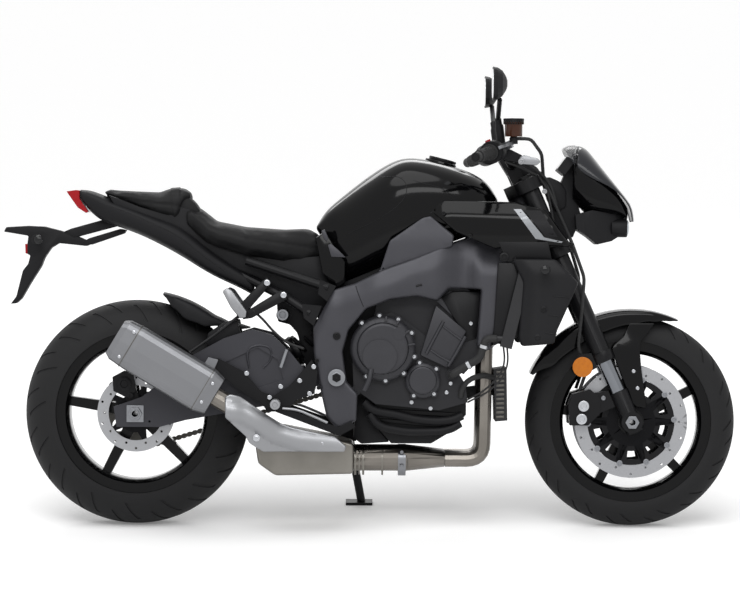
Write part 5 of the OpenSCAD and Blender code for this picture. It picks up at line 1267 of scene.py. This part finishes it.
MOULDINGS = {
    "seat_base": ([(108, 196), (140, 208), (168, 216), (178, 207), (190, 210), (200, 226), (226, 246), (262, 257),
                   (300, 258), (322, 256), (338, 280), (338, 300), (324, 318), (314, 318), (300, 303), (283, 294),
                   (266, 283), (252, 276), (240, 276), (222, 270), (196, 250), (168, 236), (140, 224),
                   (116, 210)], 0.088),
    "airbox": ([(340, 284), (380, 267), (420, 253), (470, 237), (500, 225), (504, 250), (490, 286), (484, 344),
                (444, 344), (440, 300), (400, 300), (372, 306), (350, 320), (342, 300)], 0.072),
    "gearbox_back": ([(338, 330), (352, 312), (368, 298), (386, 298), (388, 330), (378, 392), (352, 412),
                      (344, 396), (340, 360)], 0.085),
    "linkage_bracket": ([(357, 392), (378, 402), (380, 430), (390, 442), (362, 444), (354, 438)], 0.085),
    "shock_bracket": ([(276, 290), (300, 303), (316, 312), (320, 346), (322, 368), (310, 376), (302, 356),
                       (298, 334), (290, 325), (278, 322)], 0.034),
}
for name, (outline, half) in MOULDINGS.items():
    piece_of(slab, name, [(outline, half, -half, half)], matte_mould, "chassis")

# %% [markdown]
# The guard over each tyre is one thin moulding with side skirts. Its section is spun round the axle, then
# each point is moved to the radius, depth and width that the guard has at that angle.

# %% Tyre guards
GUARD_SECTION = [(1, 1.0), (1, 0.55), (0.985, 0.2), (0.92, 0.05), (0.78, 0.0), (0.4, -0.04), (0, -0.06)]
SKIRT_UNIT, GUARD_THICK, GUARD_LEVELS = 0.050, 0.003, 1


def tyre_guard(axle, half, angles, crown, skirt, width):
    """Angles are up from forward; crown, skirt and width give the guard's shape at each of them."""
    bm = bmesh.new()
    whole = GUARD_SECTION + [(-side, drop) for side, drop in GUARD_SECTION[-2::-1]]
    first, base = math.radians(angles[0]), max(crown)
    row = [bm.verts.new((math.cos(first) * (base - drop * SKIRT_UNIT), side * half,
                         math.sin(first) * (base - drop * SKIRT_UNIT))) for side, drop in whole]
    edges = [bm.edges.new(two) for two in zip(row, row[1:])]
    sweep = angles[-1] - angles[0]
    bmesh.ops.spin(bm, geom=row + edges, cent=(0, 0, 0), axis=(0, -1, 0), angle=math.radians(sweep),
                   steps=int(sweep / 2), use_duplicate=False)
    for vert in bm.verts:
        angle, radius = math.degrees(math.atan2(vert.co.z, vert.co.x)), math.hypot(vert.co.x, vert.co.z)
        drop = (base - radius) / SKIRT_UNIT
        deep = through(angles, skirt, angle) if drop > 0 else SKIRT_UNIT
        share = (through(angles, crown, angle) - drop * deep) / radius
        wide = through(angles, width, angle)
        vert.co = (axle[0] + vert.co.x * share, vert.co.y * wide, axle[1] + vert.co.z * share)
    bmesh.ops.recalc_face_normals(bm, faces=bm.faces)
    bmesh.ops.solidify(bm, geom=bm.faces[:], thickness=GUARD_THICK)
    return bm


rear_guard = tyre_guard((0, REAR_R), half=0.106, angles=[37, 40.5, 45, 52.8, 62.6, 71, 78],
                        crown=[0.402, 0.384, 0.362, 0.350, 0.349, 0.348, 0.347],
                        skirt=[0.004, 0.022, 0.018, 0.041, 0.050, 0.034, 0.006],
                        width=[0.72, 0.82, 0.92, 1, 1, 0.9, 0.5])
smooth_body("rear_tyre_guard", "rear_mudguard", rear_guard, matte_mould, "chassis", GUARD_LEVELS)
front_guard = tyre_guard((WHEELBASE, FRONT_R), half=0.074, angles=[64.5, 70, 78, 90, 108, 127, 143, 155],
                         crown=[0.319, 0.319, 0.319, 0.318, 0.318, 0.318, 0.318, 0.318],
                         skirt=[0.004, 0.016, 0.030, 0.044, 0.054, 0.058, 0.050, 0.012],
                         width=[0.45, 0.75, 0.95, 1, 1, 1, 0.98, 0.86])
front_piece = smooth_body("front_tyre_guard", None, front_guard, gloss_lacquer, "steering",
                          GUARD_LEVELS)
# %% [markdown]
# The front guard stands on two folded legs, bolted to the fork feet. Flanges hold the rear one to the arm.

# %% Guard legs and flanges
LEG = [(630, 322), (655, 322), (647, 333.5), (641.4, 340), (640.4, 350), (642, 368), (646, 397), (647, 407),
       (634, 406), (623, 378), (612, 349), (613.5, 344.5), (624, 335)]
LEG_OUT = 0.0882


def leg_depth(px, py):
    fold = through([322, 345, 406], [634, 622, 636], py)
    return LEG_OUT - 0.002 * grow(fold - px, 0, 4) - 0.012 * (1 - grow(py, 322, 358))


leg_panel = panel(LEG, 0.086, leg_depth, thick=0.005, rim=0.003, corner=0.004)
make_piece("guard_legs", pair(leg_panel), gloss_lacquer, "steering")
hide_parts("front_mudguard")
piece_of(right_bolt, "guard_bolts", [(px, py, LEG_OUT, 0.0052, 0.004) for px, py in ((634, 370), (638, 387))],
         bolt_steel, "steering", both=True)
FLANGE = [(206, 347), (228, 348), (241, 338), (238, 321), (222, 324), (208, 334)]
piece_of(slab, "guard_flanges", [(FLANGE, 0.13, 0.098, 0.132)], matte_mould, "chassis", both=True)

# %% [markdown]
# The number plate hangs on a slim arm: two struts from the tail, a blade that carries the signals and a
# drop that holds a bare plate. Slabs from the side view with well rounded edges are enough.

# %% Plate holder
holder = bmesh.new()
slab(holder, [(3.6, 233.4), (6, 228.8), (28, 227.4), (44, 228), (60, 232), (76, 237), (93, 244.5), (86, 247.4),
              (58.6, 244.6), (51, 249.4), (44.5, 259), (41, 268), (31.5, 283), (21.7, 300), (16.4, 305),
              (10.6, 305.6), (16.3, 298), (19.5, 285), (22.8, 272), (28, 265.5), (30.2, 257), (27.2, 255.6),
              (27.2, 245), (28.2, 237.4)], 0.03, -0.030, 0.030, 0.003)
for inner, outer in ((0.016, 0.032), (-0.032, -0.016)):
    slab(holder, [(64, 233), (71, 230), (110, 219), (118, 220), (118, 227), (74, 239)], 0.03, inner, outer, 0.002)
    slab(holder, [(82, 243.5), (89, 239.5), (120, 230), (126, 231), (124, 234.5), (91, 246)], 0.03, inner, outer,
         0.0015)
holder_piece = make_piece("plate_holder", holder, matte_mould, "chassis")
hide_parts("plate_bracket")
REAR_RED = [(24.8, 245.6), (27.8, 245.2), (27.8, 255.6), (25.2, 255)]
piece_of(slab, "rear_reflector", [(REAR_RED, 0.03, -0.024, 0.024, 0.001)], red_lens, "chassis")

# %% [markdown]
# Each passenger peg folds up against a light triangle of two straps. The straps end in bolts on the rear
# rails, and a thin rod steadies the silencer.

# %% Passenger pegs
STRAP_IN, STRAP_OUT = 0.133, 0.143
STRAP_SHAPES = ([(262.6, 281), (267, 278), (271.6, 283), (249, 309), (246, 318), (237, 317), (236, 309)],
                [(281, 290.6), (287.6, 293), (287, 299.6), (252, 318.6), (243, 320), (243, 314)])
PEG = [(222.5, 292), (227, 288.4), (232, 291), (247, 312), (246, 318), (240, 319), (231, 308)]
straps = bmesh.new()
for outline in STRAP_SHAPES:
    slab(straps, outline, 0.13, STRAP_IN, STRAP_OUT, 0.002)
side_line(straps, [(240, 316, 0.140), (214, 336, 0.158), (190, 353, 0.176)], 0.0045)
strap_piece = make_piece("peg_straps", pair(straps), black_metal, "chassis")
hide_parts("pillion_hangers")
piece_of(slab, "passenger_pegs", [(PEG, 0.15, STRAP_OUT, 0.168)], shield_metal, "chassis", both=True)
piece_of(right_bolt, "strap_bolts", [(px, py, STRAP_OUT, 0.0085) for px, py in ((267, 283.2), (283.5, 295.4))],
         bolt_steel, "chassis", both=True)

# %% [markdown]
# The rider's pegs and the brake pedal are bare alloy on a black bracket. The pegs get a turned sleeve with
# grip rings, the pedal a round arm, and the bracket its bright bolts. The shock's reservoir and the rear
# brake line lie behind the bracket.

# %% Rider controls
RIDER_OUT, PEG_FROM, PEG_PITCH, PEG_RINGS = 0.186, 0.200, 0.0125, 6
ACROSS = Matrix.Rotation(math.radians(90), 4, "Z")
peg_at = seen(276, 404, -0.177)
controls = bmesh.new()
side_line(controls, [(283, 409, 0.199), (297, 410.5, 0.200), (312, 416, 0.200), (328, 423, 0.199)], 0.0042)
for i in range(PEG_RINGS):
    place = Matrix.Translation((peg_at.x, -PEG_FROM - i * PEG_PITCH, peg_at.z)) @ ACROSS
    band(controls, place, 0.0120, 0.0142, 0.007)
bolt(controls, Matrix.Translation((peg_at.x, -0.2735, peg_at.z)) @ OUT_RIGHT, 0.0134, 0.0030, 28)
make_piece("peg_rings", pair(controls), shield_metal, "chassis")
BRACKET_BOLTS = ((247, 374), (281, 387), (270, 398), (310, 394), (314, 367), (300, 381))
piece_of(right_bolt, "bracket_bolts", [(px, py, RIDER_OUT, 0.0068) for px, py in BRACKET_BOLTS], bolt_steel,
         "chassis", both=True)
rods = bmesh.new()
side_line(rods, [(287, 350, 0.190), (281, 368, 0.192)], 0.0055)
right_bolt(rods, 283, 315, 0.030, 0.0185, 0.040, 32)
make_piece("shock_reservoir", rods, steel, "chassis")
REAR_LINE = [(253, 311, 0.142), (262, 319, 0.128), (275, 333, 0.132), (288, 343, 0.160), (304, 349, 0.184)]
piece_of(side_line, "rear_brake_line", [(REAR_LINE, 0.0036)], rubber, "chassis")

# %% [markdown]
# The pipe that leads to the silencer swells under a pressed heat shield. The shield is a sculpted panel
# whose depth follows the pipe: a round ridge fades into a flat apron with a turned edge. It needs a finer
# grid than the other panels. The round reflectors on the fork feet are made here too.

# %% Heat shield
SHIELD = [(225.8, 397), (231, 394.6), (241, 397), (256, 407.5), (267, 415), (280, 423.4), (292, 428), (314.5, 433),
          (336, 437.4), (347, 447), (345, 452.4), (264, 452.4), (250, 443.6), (246.6, 437), (226, 418)]
SHIELD_PLAN = ([222, 236, 250, 290, 352], [0.274, 0.273, 0.263, 0.236, 0.228])
RIDGE = [(224, 407), (246, 410.5), (262, 419.5), (280, 431.5), (300, 437.5), (350, 446)]
RIDGE_PX, RIDGE_H, SHIELD_GRID = 9.5, 0.015, 0.007


def shield_depth(px, py):
    spot = Vector((px, py, 0))
    near = min(off_line(spot, Vector((*a, 0)), Vector((*b, 0))) for a, b in zip(RIDGE, RIDGE[1:]))
    round_top = math.sqrt(max(0.0, 1 - (near / RIDGE_PX) ** 2))
    return through(*SHIELD_PLAN, px) + RIDGE_H * round_top * (1 - 0.6 * grow(px, 280, 340))


shield_panel = panel(SHIELD, 0.25, shield_depth, thick=0.006, rim=0.004, corner=0.004, grid=SHIELD_GRID)
shield = make_piece("shield_pressing", shield_panel, shield_metal, "chassis")
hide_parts("exhaust_shield")
piece_of(right_bolt, "reflector_discs", [(583, 366, CALIPER_OUT, 0.0284, 0.0068, 48, False)], amber_lens,
         "steering", both=True)

# %% [markdown]
# The small screen is a sheet of dark tinted plastic bent over the nose. A flat grid is bent into an arch
# whose crest and lower edge follow the screen's two outlines, then thickened and smoothed. Its rear lip
# stands free of the nose, so it is a piece of its own with a see-through finish.

# %% Screen
CREST = [(561, 147.5), (568, 143.4), (577, 144.6), (585, 146.6), (593, 157), (604, 171), (616, 186), (626, 198.4),
         (631.5, 206), (633.6, 221)]
SILL = [(566, 152), (569, 157.5), (575, 166), (584, 174), (595, 179.5), (608, 184.5), (618, 191.5), (626, 200.5),
        (630.5, 208), (632, 221.6)]
SILL_HALF = [0.098, 0.101, 0.103, 0.104, 0.104, 0.102, 0.096, 0.086, 0.076, 0.060]
LIP_STATION, LAST_STATION = 2, len(CREST) - 1
SCREEN_LEVELS, SCREEN_STEPS, SCREEN_POWER, SCREEN_THICK = 1, 14, 0.8, 0.0025


def screen_part(first, last):
    bm = bmesh.new()
    bmesh.ops.create_grid(bm, x_segments=last - first, y_segments=SCREEN_STEPS, size=0.5)
    for vert in bm.verts:
        station = first + round((vert.co.x + 0.5) * (last - first))
        swing = vert.co.y * math.pi
        crest, sill = seen(*CREST[station]), seen(*SILL[station], SILL_HALF[station])
        lift = abs(math.cos(swing)) ** SCREEN_POWER
        vert.co = sill + (crest - sill) * lift
        vert.co.y = math.sin(swing) * SILL_HALF[station]
    bmesh.ops.recalc_face_normals(bm, faces=bm.faces)
    bmesh.ops.solidify(bm, geom=bm.faces[:], thickness=SCREEN_THICK)
    return bm


smooth_body("screen_sheet", "windscreen", screen_part(LIP_STATION, LAST_STATION), screen_smoke, "steering",
            SCREEN_LEVELS)
smooth_body("screen_lip", None, screen_part(0, LIP_STATION), tinted_sheet, "steering",
            SCREEN_LEVELS)

# %% [markdown]
# The cluster between the bars and the forks is crowded on the real machine: clamp block, brake cylinder,
# ignition lock, wiring. Rounded blocks stand for the larger ones and bent lines for the wiring.

# %% Bar clamp and cylinder
CLAMP_BLOCKS = [
    ([(498, 160), (506, 152.5), (522, 157), (537, 167), (545, 181), (541, 185), (526, 179), (508, 176)],
     0.05, -0.055, 0.055, 0.005),
    ([(541, 178), (549, 176), (560, 181), (566, 190), (566, 206), (556, 212), (548, 200)],
     0.05, -0.046, 0.046, 0.005),
    ([(493, 151), (499, 145.5), (508, 148), (522, 155), (522, 163), (505, 160)], 0.16, 0.150, 0.172, 0.003)]
piece_of(slab, "bar_clamp", CLAMP_BLOCKS, matte_mould, "steering")
cylinder = bmesh.new()
slab(cylinder, [(518.5, 157.4), (523, 154), (537, 157.6), (540, 161), (536, 164.6), (522, 163.6)], 0.18, 0.150,
     0.186, 0.003)
right_bolt(cylinder, 520.4, 160.8, 0.186, 0.0085, 0.005)
right_bolt(cylinder, 544, 190.6, 0.138, 0.0070)
make_piece("brake_cylinder", cylinder, shield_metal, "steering")
WIRES = ([(505, 161, 0.165), (525, 169, 0.140), (543, 183, 0.098), (550, 206, 0.084), (553, 222, 0.082)],
         [(508, 158, 0.150), (530, 166, 0.125), (548, 182, 0.088), (556, 204, 0.078)])
piece_of(side_line, "bar_wiring", [(spots, 0.0042) for spots in WIRES], rubber, "steering")

# %% [markdown]
# Brackets and end tanks close the sides of the radiator and the gap below the scoops. The foot of the tank
# and its pale trim fill the corner in front of the saddle.

# %% Radiator sides and tank foot
SIDES = [([(498, 262), (520, 262), (522, 300), (519, 336), (505, 340), (493, 346)], 0.2, 0.090, 0.196),
         ([(497, 240), (548, 240), (552, 262), (508, 264)], 0.18, 0.164, 0.186, 0.003)]
piece_of(slab, "radiator_sides", SIDES, black_metal, "chassis", both=True)
FOOT = [(315, 238), (325, 231), (334, 246), (345, 262), (345, 284), (334, 291), (322, 272)]
piece_of(slab, "tank_foot", [(FOOT, 0.12, -0.118, 0.118, 0.006)], gloss_lacquer, "chassis")
FOOT_TRIM = ([(321, 231), (324.4, 229.6), (328, 238), (326.6, 242), (323, 238)],
             [(327.5, 245), (331, 244), (338, 250), (345.6, 257.6), (331, 257)])
piece_of(slab, "foot_trim", [(outline, 0.12, 0.112, 0.122, 0.0015) for outline in FOOT_TRIM], frame_coat, "chassis",
         both=True)

# %% [markdown]
# The barrel beside the clutch cover is a flat casting with a raised rib along each edge. Beside it a black slab
# is painted shade over the head and the header port, the oil filler has a lobed black cap, and round caps close
# the pivot and the radiator's corner.

# %% Barrel and filler
BARREL_OUT = 0.158
RIBS = (([(443.5, 321), (435, 337), (426.5, 353.5)], 0.0050), ([(465.6, 336), (457, 352), (448.6, 366)], 0.0052),
        ([(443, 326), (452, 332.6), (461.5, 339.5)], 0.0036), ([(430.6, 349.6), (440, 356), (450, 361.6)], 0.0036))
barrel = bmesh.new()
slab(barrel, [(436, 305), (466.5, 331), (447.5, 367.5), (420.5, 355)], 0.16, 0.110, BARREL_OUT, 0.003)
for spots, radius in RIBS:
    side_line(barrel, [(px, py, BARREL_OUT) for px, py in spots], radius)
make_piece("barrel_casting", barrel, engine_coat, "chassis")
# Painted shade: a black slab over the engine head and header port, where shade falls between the parts.
HEAD_SHADE_SLAB = [(441, 297), (452, 291), (481, 291), (480, 345), (452, 350), (462, 331)]
piece_of(slab, "head_shade_slab", [(HEAD_SHADE_SLAB, 0.14, 0.100, 0.1375, 0.003)], black_metal, "chassis")
FILLER_PX = (399, 333)
ROUND_CAPS = [(*FILLER_PX, 0.160, 0.0185, 0.010, 10), (*FILLER_PX, 0.170, 0.0110, 0.008, 6, False),
              (*PIVOT, 0.199, 0.0135, 0.003, 6), (504, 256.5, 0.184, 0.0130, BOLT_H, 24)]
piece_of(right_bolt, "filler_cap", ROUND_CAPS, black_metal, "chassis")

# %% [markdown]
# Bright clips hold the coolant hose, smaller hoses loop above the sump, and the oil cooler shows a stack of
# thin fins at its side. A clip is a band turned so that its axis follows the hose. Two lines mark each spar.

# %% Hose clips and cooler fins
CLIP_LINES = (((469, 364.2, 0.1862), (480, 358, 0.192)), ((483.6, 346, 0.1946), (486, 338, 0.197)))
clips = bmesh.new()
for line in CLIP_LINES:
    here, there = (seen(px, py, -y) for px, py, y in line)
    turn = (there - here).to_track_quat("X", "Z").to_matrix().to_4x4()
    band(clips, Matrix.Translation(here) @ turn, 0.0100, 0.0128, 0.009)
make_piece("hose_clips", clips, bolt_steel, "chassis")
SMALL_HOSES = [
    ([(461, 397, 0.140), (463, 388, 0.148), (470, 379.6, 0.150), (482, 375.4, 0.140), (493, 377, 0.100)], 0.0080),
    ([(503, 337, 0.192), (503, 368, 0.172), (488, 387, 0.156), (465, 401, 0.142)], 0.0026),
    ([(507, 337, 0.192), (506, 370, 0.170), (491, 389, 0.154), (468, 402, 0.142)], 0.0026)]
piece_of(side_line, "small_hoses", SMALL_HOSES, rubber, "chassis")
FIN_TOP, FIN_PITCH, FIN_COUNT, FIN_HALF = 370.4, 4.5, 11, 0.0985
fins = []
for i in range(FIN_COUNT):
    top = FIN_TOP + FIN_PITCH * i
    fins.append(([(496.6, top), (504.6, top - 0.3), (504.8, top + 2), (496.8, top + 2.3)], 0.096, -FIN_HALF,
                 FIN_HALF, 0.0012))
piece_of(slab, "cooler_fins", fins, dark_steel, "chassis")
spar_skin = skin_of(spars)
SPAR_LINES = [(spar_skin, [(355.6, 286), (359, 296), (363.6, 307)], 0.0011),
              (spar_skin, [(416, 286), (419, 285.2), (422, 284.4)], 0.0030)]
piece_of(skin_line, "spar_lines", SPAR_LINES, black_metal, "chassis", both=True)

# %% [markdown]
# Small buttons join each floating disc to its carrier, and a round cap closes the rear brake. A raised rim
# strengthens the swingarm, and low ridges cross the shrouds. Lines laid on the skin make both.

# %% Buttons, caps and ridges
BUTTON_COUNT, BUTTON_TURN, BUTTON_PITCH, BUTTON_RING, BUTTON_Y = 10, 3, 36, 0.1225, 0.0738
buttons = bmesh.new()
for i in range(BUTTON_COUNT):
    turn = math.radians(BUTTON_TURN + BUTTON_PITCH * i)
    spot = (WHEELBASE + BUTTON_RING * math.cos(turn), -BUTTON_Y, FRONT_R + BUTTON_RING * math.sin(turn))
    bolt(buttons, Matrix.Translation(spot) @ OUT_RIGHT, 0.0082, 0.0022, 20)
make_piece("disc_buttons", pair(buttons), steel, "front_wheel")
REAR_CAPS = [(124.7, 385, 0.1398, 0.0200, BOLT_H, 36), (131, 396.5, 0.1398, 0.0090, 0.005, 24)]
piece_of(right_bolt, "rear_brake_caps", REAR_CAPS, black_metal, "chassis")
arm_skin, shroud_skin = skin_of(frame["nodes"]["swingarm"]), skin_of(shrouds)
ARM_RIM = [(249, 369), (248, 352), (252, 348), (267, 347.6), (270.6, 351), (270, 361), (263, 369)]
piece_of(skin_line, "arm_rims", [(arm_skin, ARM_RIM, 0.0032, 4)], arm_coat, "chassis")
RIDGE_STEPS, RIDGE_DROP = 4, 0.4
ridges = []
for start, end, py in ((553, 569, 295), (548.5, 562, 314), (545, 556.6, 331.7)):
    spots = [(start + (end - start) * i / RIDGE_STEPS, py + RIDGE_DROP * i) for i in range(RIDGE_STEPS + 1)]
    ridges.append((shroud_skin, spots, 0.0018))
piece_of(skin_line, "shroud_ridges", ridges, shroud_mould, "chassis", both=True)

# %% [markdown]
# A webbing strap crosses the passenger's seat, and a padded roll fills the step between the two seats. The
# strap is a slice of the seat's own skin, cut off by two planes and lifted a little, so it lies on the pad.

# %% Strap and seat roll
STRAP_EDGES = (((169.7, 190.7), (173.7, 220.0)), ((178.4, 190.0), (182.4, 223.0)))
STRAP_LIFT, STRAP_THICK = 0.0022, 0.0018
strap = bmesh.new()
strap.from_mesh(evaluated_mesh(pillion_pad))
bmesh.ops.transform(strap, matrix=UPRIGHT, verts=strap.verts)
for (top, foot), keep in zip(STRAP_EDGES, (1, -1)):
    top, foot = seen(*top, -0.1), seen(*foot, -0.1)
    across = Vector((top.z - foot.z, 0, foot.x - top.x)) * keep
    bmesh.ops.bisect_plane(strap, geom=everything(strap), dist=CLOSE, plane_co=top, plane_no=across,
                           clear_inner=True)
strap.normal_update()
for vert in strap.verts:
    vert.co += vert.normal * STRAP_LIFT
bmesh.ops.solidify(strap, geom=strap.faces[:], thickness=STRAP_THICK)
make_piece("seat_strap", strap, seat_vinyl, "chassis", recalc=False)
SEAT_STEP = [(177, 213), (177, 206), (181.5, 199.5), (189.5, 198.6), (194.6, 203.6), (200, 211.5), (197, 216),
             (188, 213)]
piece_of(slab, "seat_step", [(SEAT_STEP, 0.09, -0.086, 0.086, 0.006)], seat_vinyl, "chassis")

# %% [markdown]
# A black carrier joins each front disc to its hub. A flat ring of three bands is extruded from a circle, and
# every second stretch of its middle band is cut out, which leaves the arms between the windows.

# %% Disc carriers
CARRIER_RADII = (0.058, 0.084, 0.108, 0.1232)
CARRIER_Y, CARRIER_THICK, ARM_HALF = 0.0720, 0.0040, 9
carriers = bmesh.new()
bmesh.ops.create_circle(carriers, segments=60, radius=CARRIER_RADII[0])
edges = carriers.edges[:]
for smaller, larger in zip(CARRIER_RADII, CARRIER_RADII[1:]):
    made = bmesh.ops.extrude_edge_only(carriers, edges=edges)["geom"]
    verts = verts_of(made)
    edges = [e for e in edges_of(made) if all(v in verts for v in e.verts)]
    bmesh.ops.scale(carriers, vec=(larger / smaller, larger / smaller, 1), verts=verts)
windows = []
for face in carriers.faces:
    middle = face.calc_center_median()
    turn = math.degrees(math.atan2(middle.y, middle.x)) - BUTTON_TURN
    off_arm = (turn + BUTTON_PITCH / 2) % BUTTON_PITCH - BUTTON_PITCH / 2
    if CARRIER_RADII[1] < middle.length < CARRIER_RADII[2] and abs(off_arm) > ARM_HALF:
        windows.append(face)
bmesh.ops.delete(carriers, geom=windows, context="FACES")
bmesh.ops.recalc_face_normals(carriers, faces=carriers.faces)
bmesh.ops.solidify(carriers, geom=carriers.faces[:], thickness=CARRIER_THICK)
level = max(v.co.z for v in carriers.verts)
bmesh.ops.translate(carriers, verts=carriers.verts, vec=(0, 0, -level))
bmesh.ops.transform(carriers, verts=carriers.verts,
                    matrix=Matrix.Translation((WHEELBASE, -CARRIER_Y, FRONT_R)) @ OUT_RIGHT)
make_piece("disc_carriers", pair(carriers), black_metal, "front_wheel")

# %% [markdown]
# The mirrors stand on thick sleeves, and a black spigot carries the brake fluid cup.

# %% Mirror sleeves and cup spigot
STEM_FOOT, STEM_KNEE = Vector((1.0285, -0.180, 1.084)), Vector((1.0222, -0.187, 1.132))
STEM_TOP = Vector((1.0184, -0.192, 1.153))
SPIGOT_AT = (1.0617, -0.214, 1.0832)
sleeves = bmesh.new()
for low, high, radius in ((STEM_FOOT, STEM_KNEE, 0.0120), (STEM_KNEE, STEM_TOP, 0.0092)):
    place = Matrix.Translation(low) @ (high - low).to_track_quat("Z", "Y").to_matrix().to_4x4()
    bolt(sleeves, place, radius, (high - low).length, 24, False)
make_piece("mirror_sleeves", pair(sleeves), matte_mould, "steering")
piece_of(bolt, "cup_spigot", [(Matrix.Translation(SPIGOT_AT), 0.0118, 0.0168, 24, False)], matte_mould, "steering")
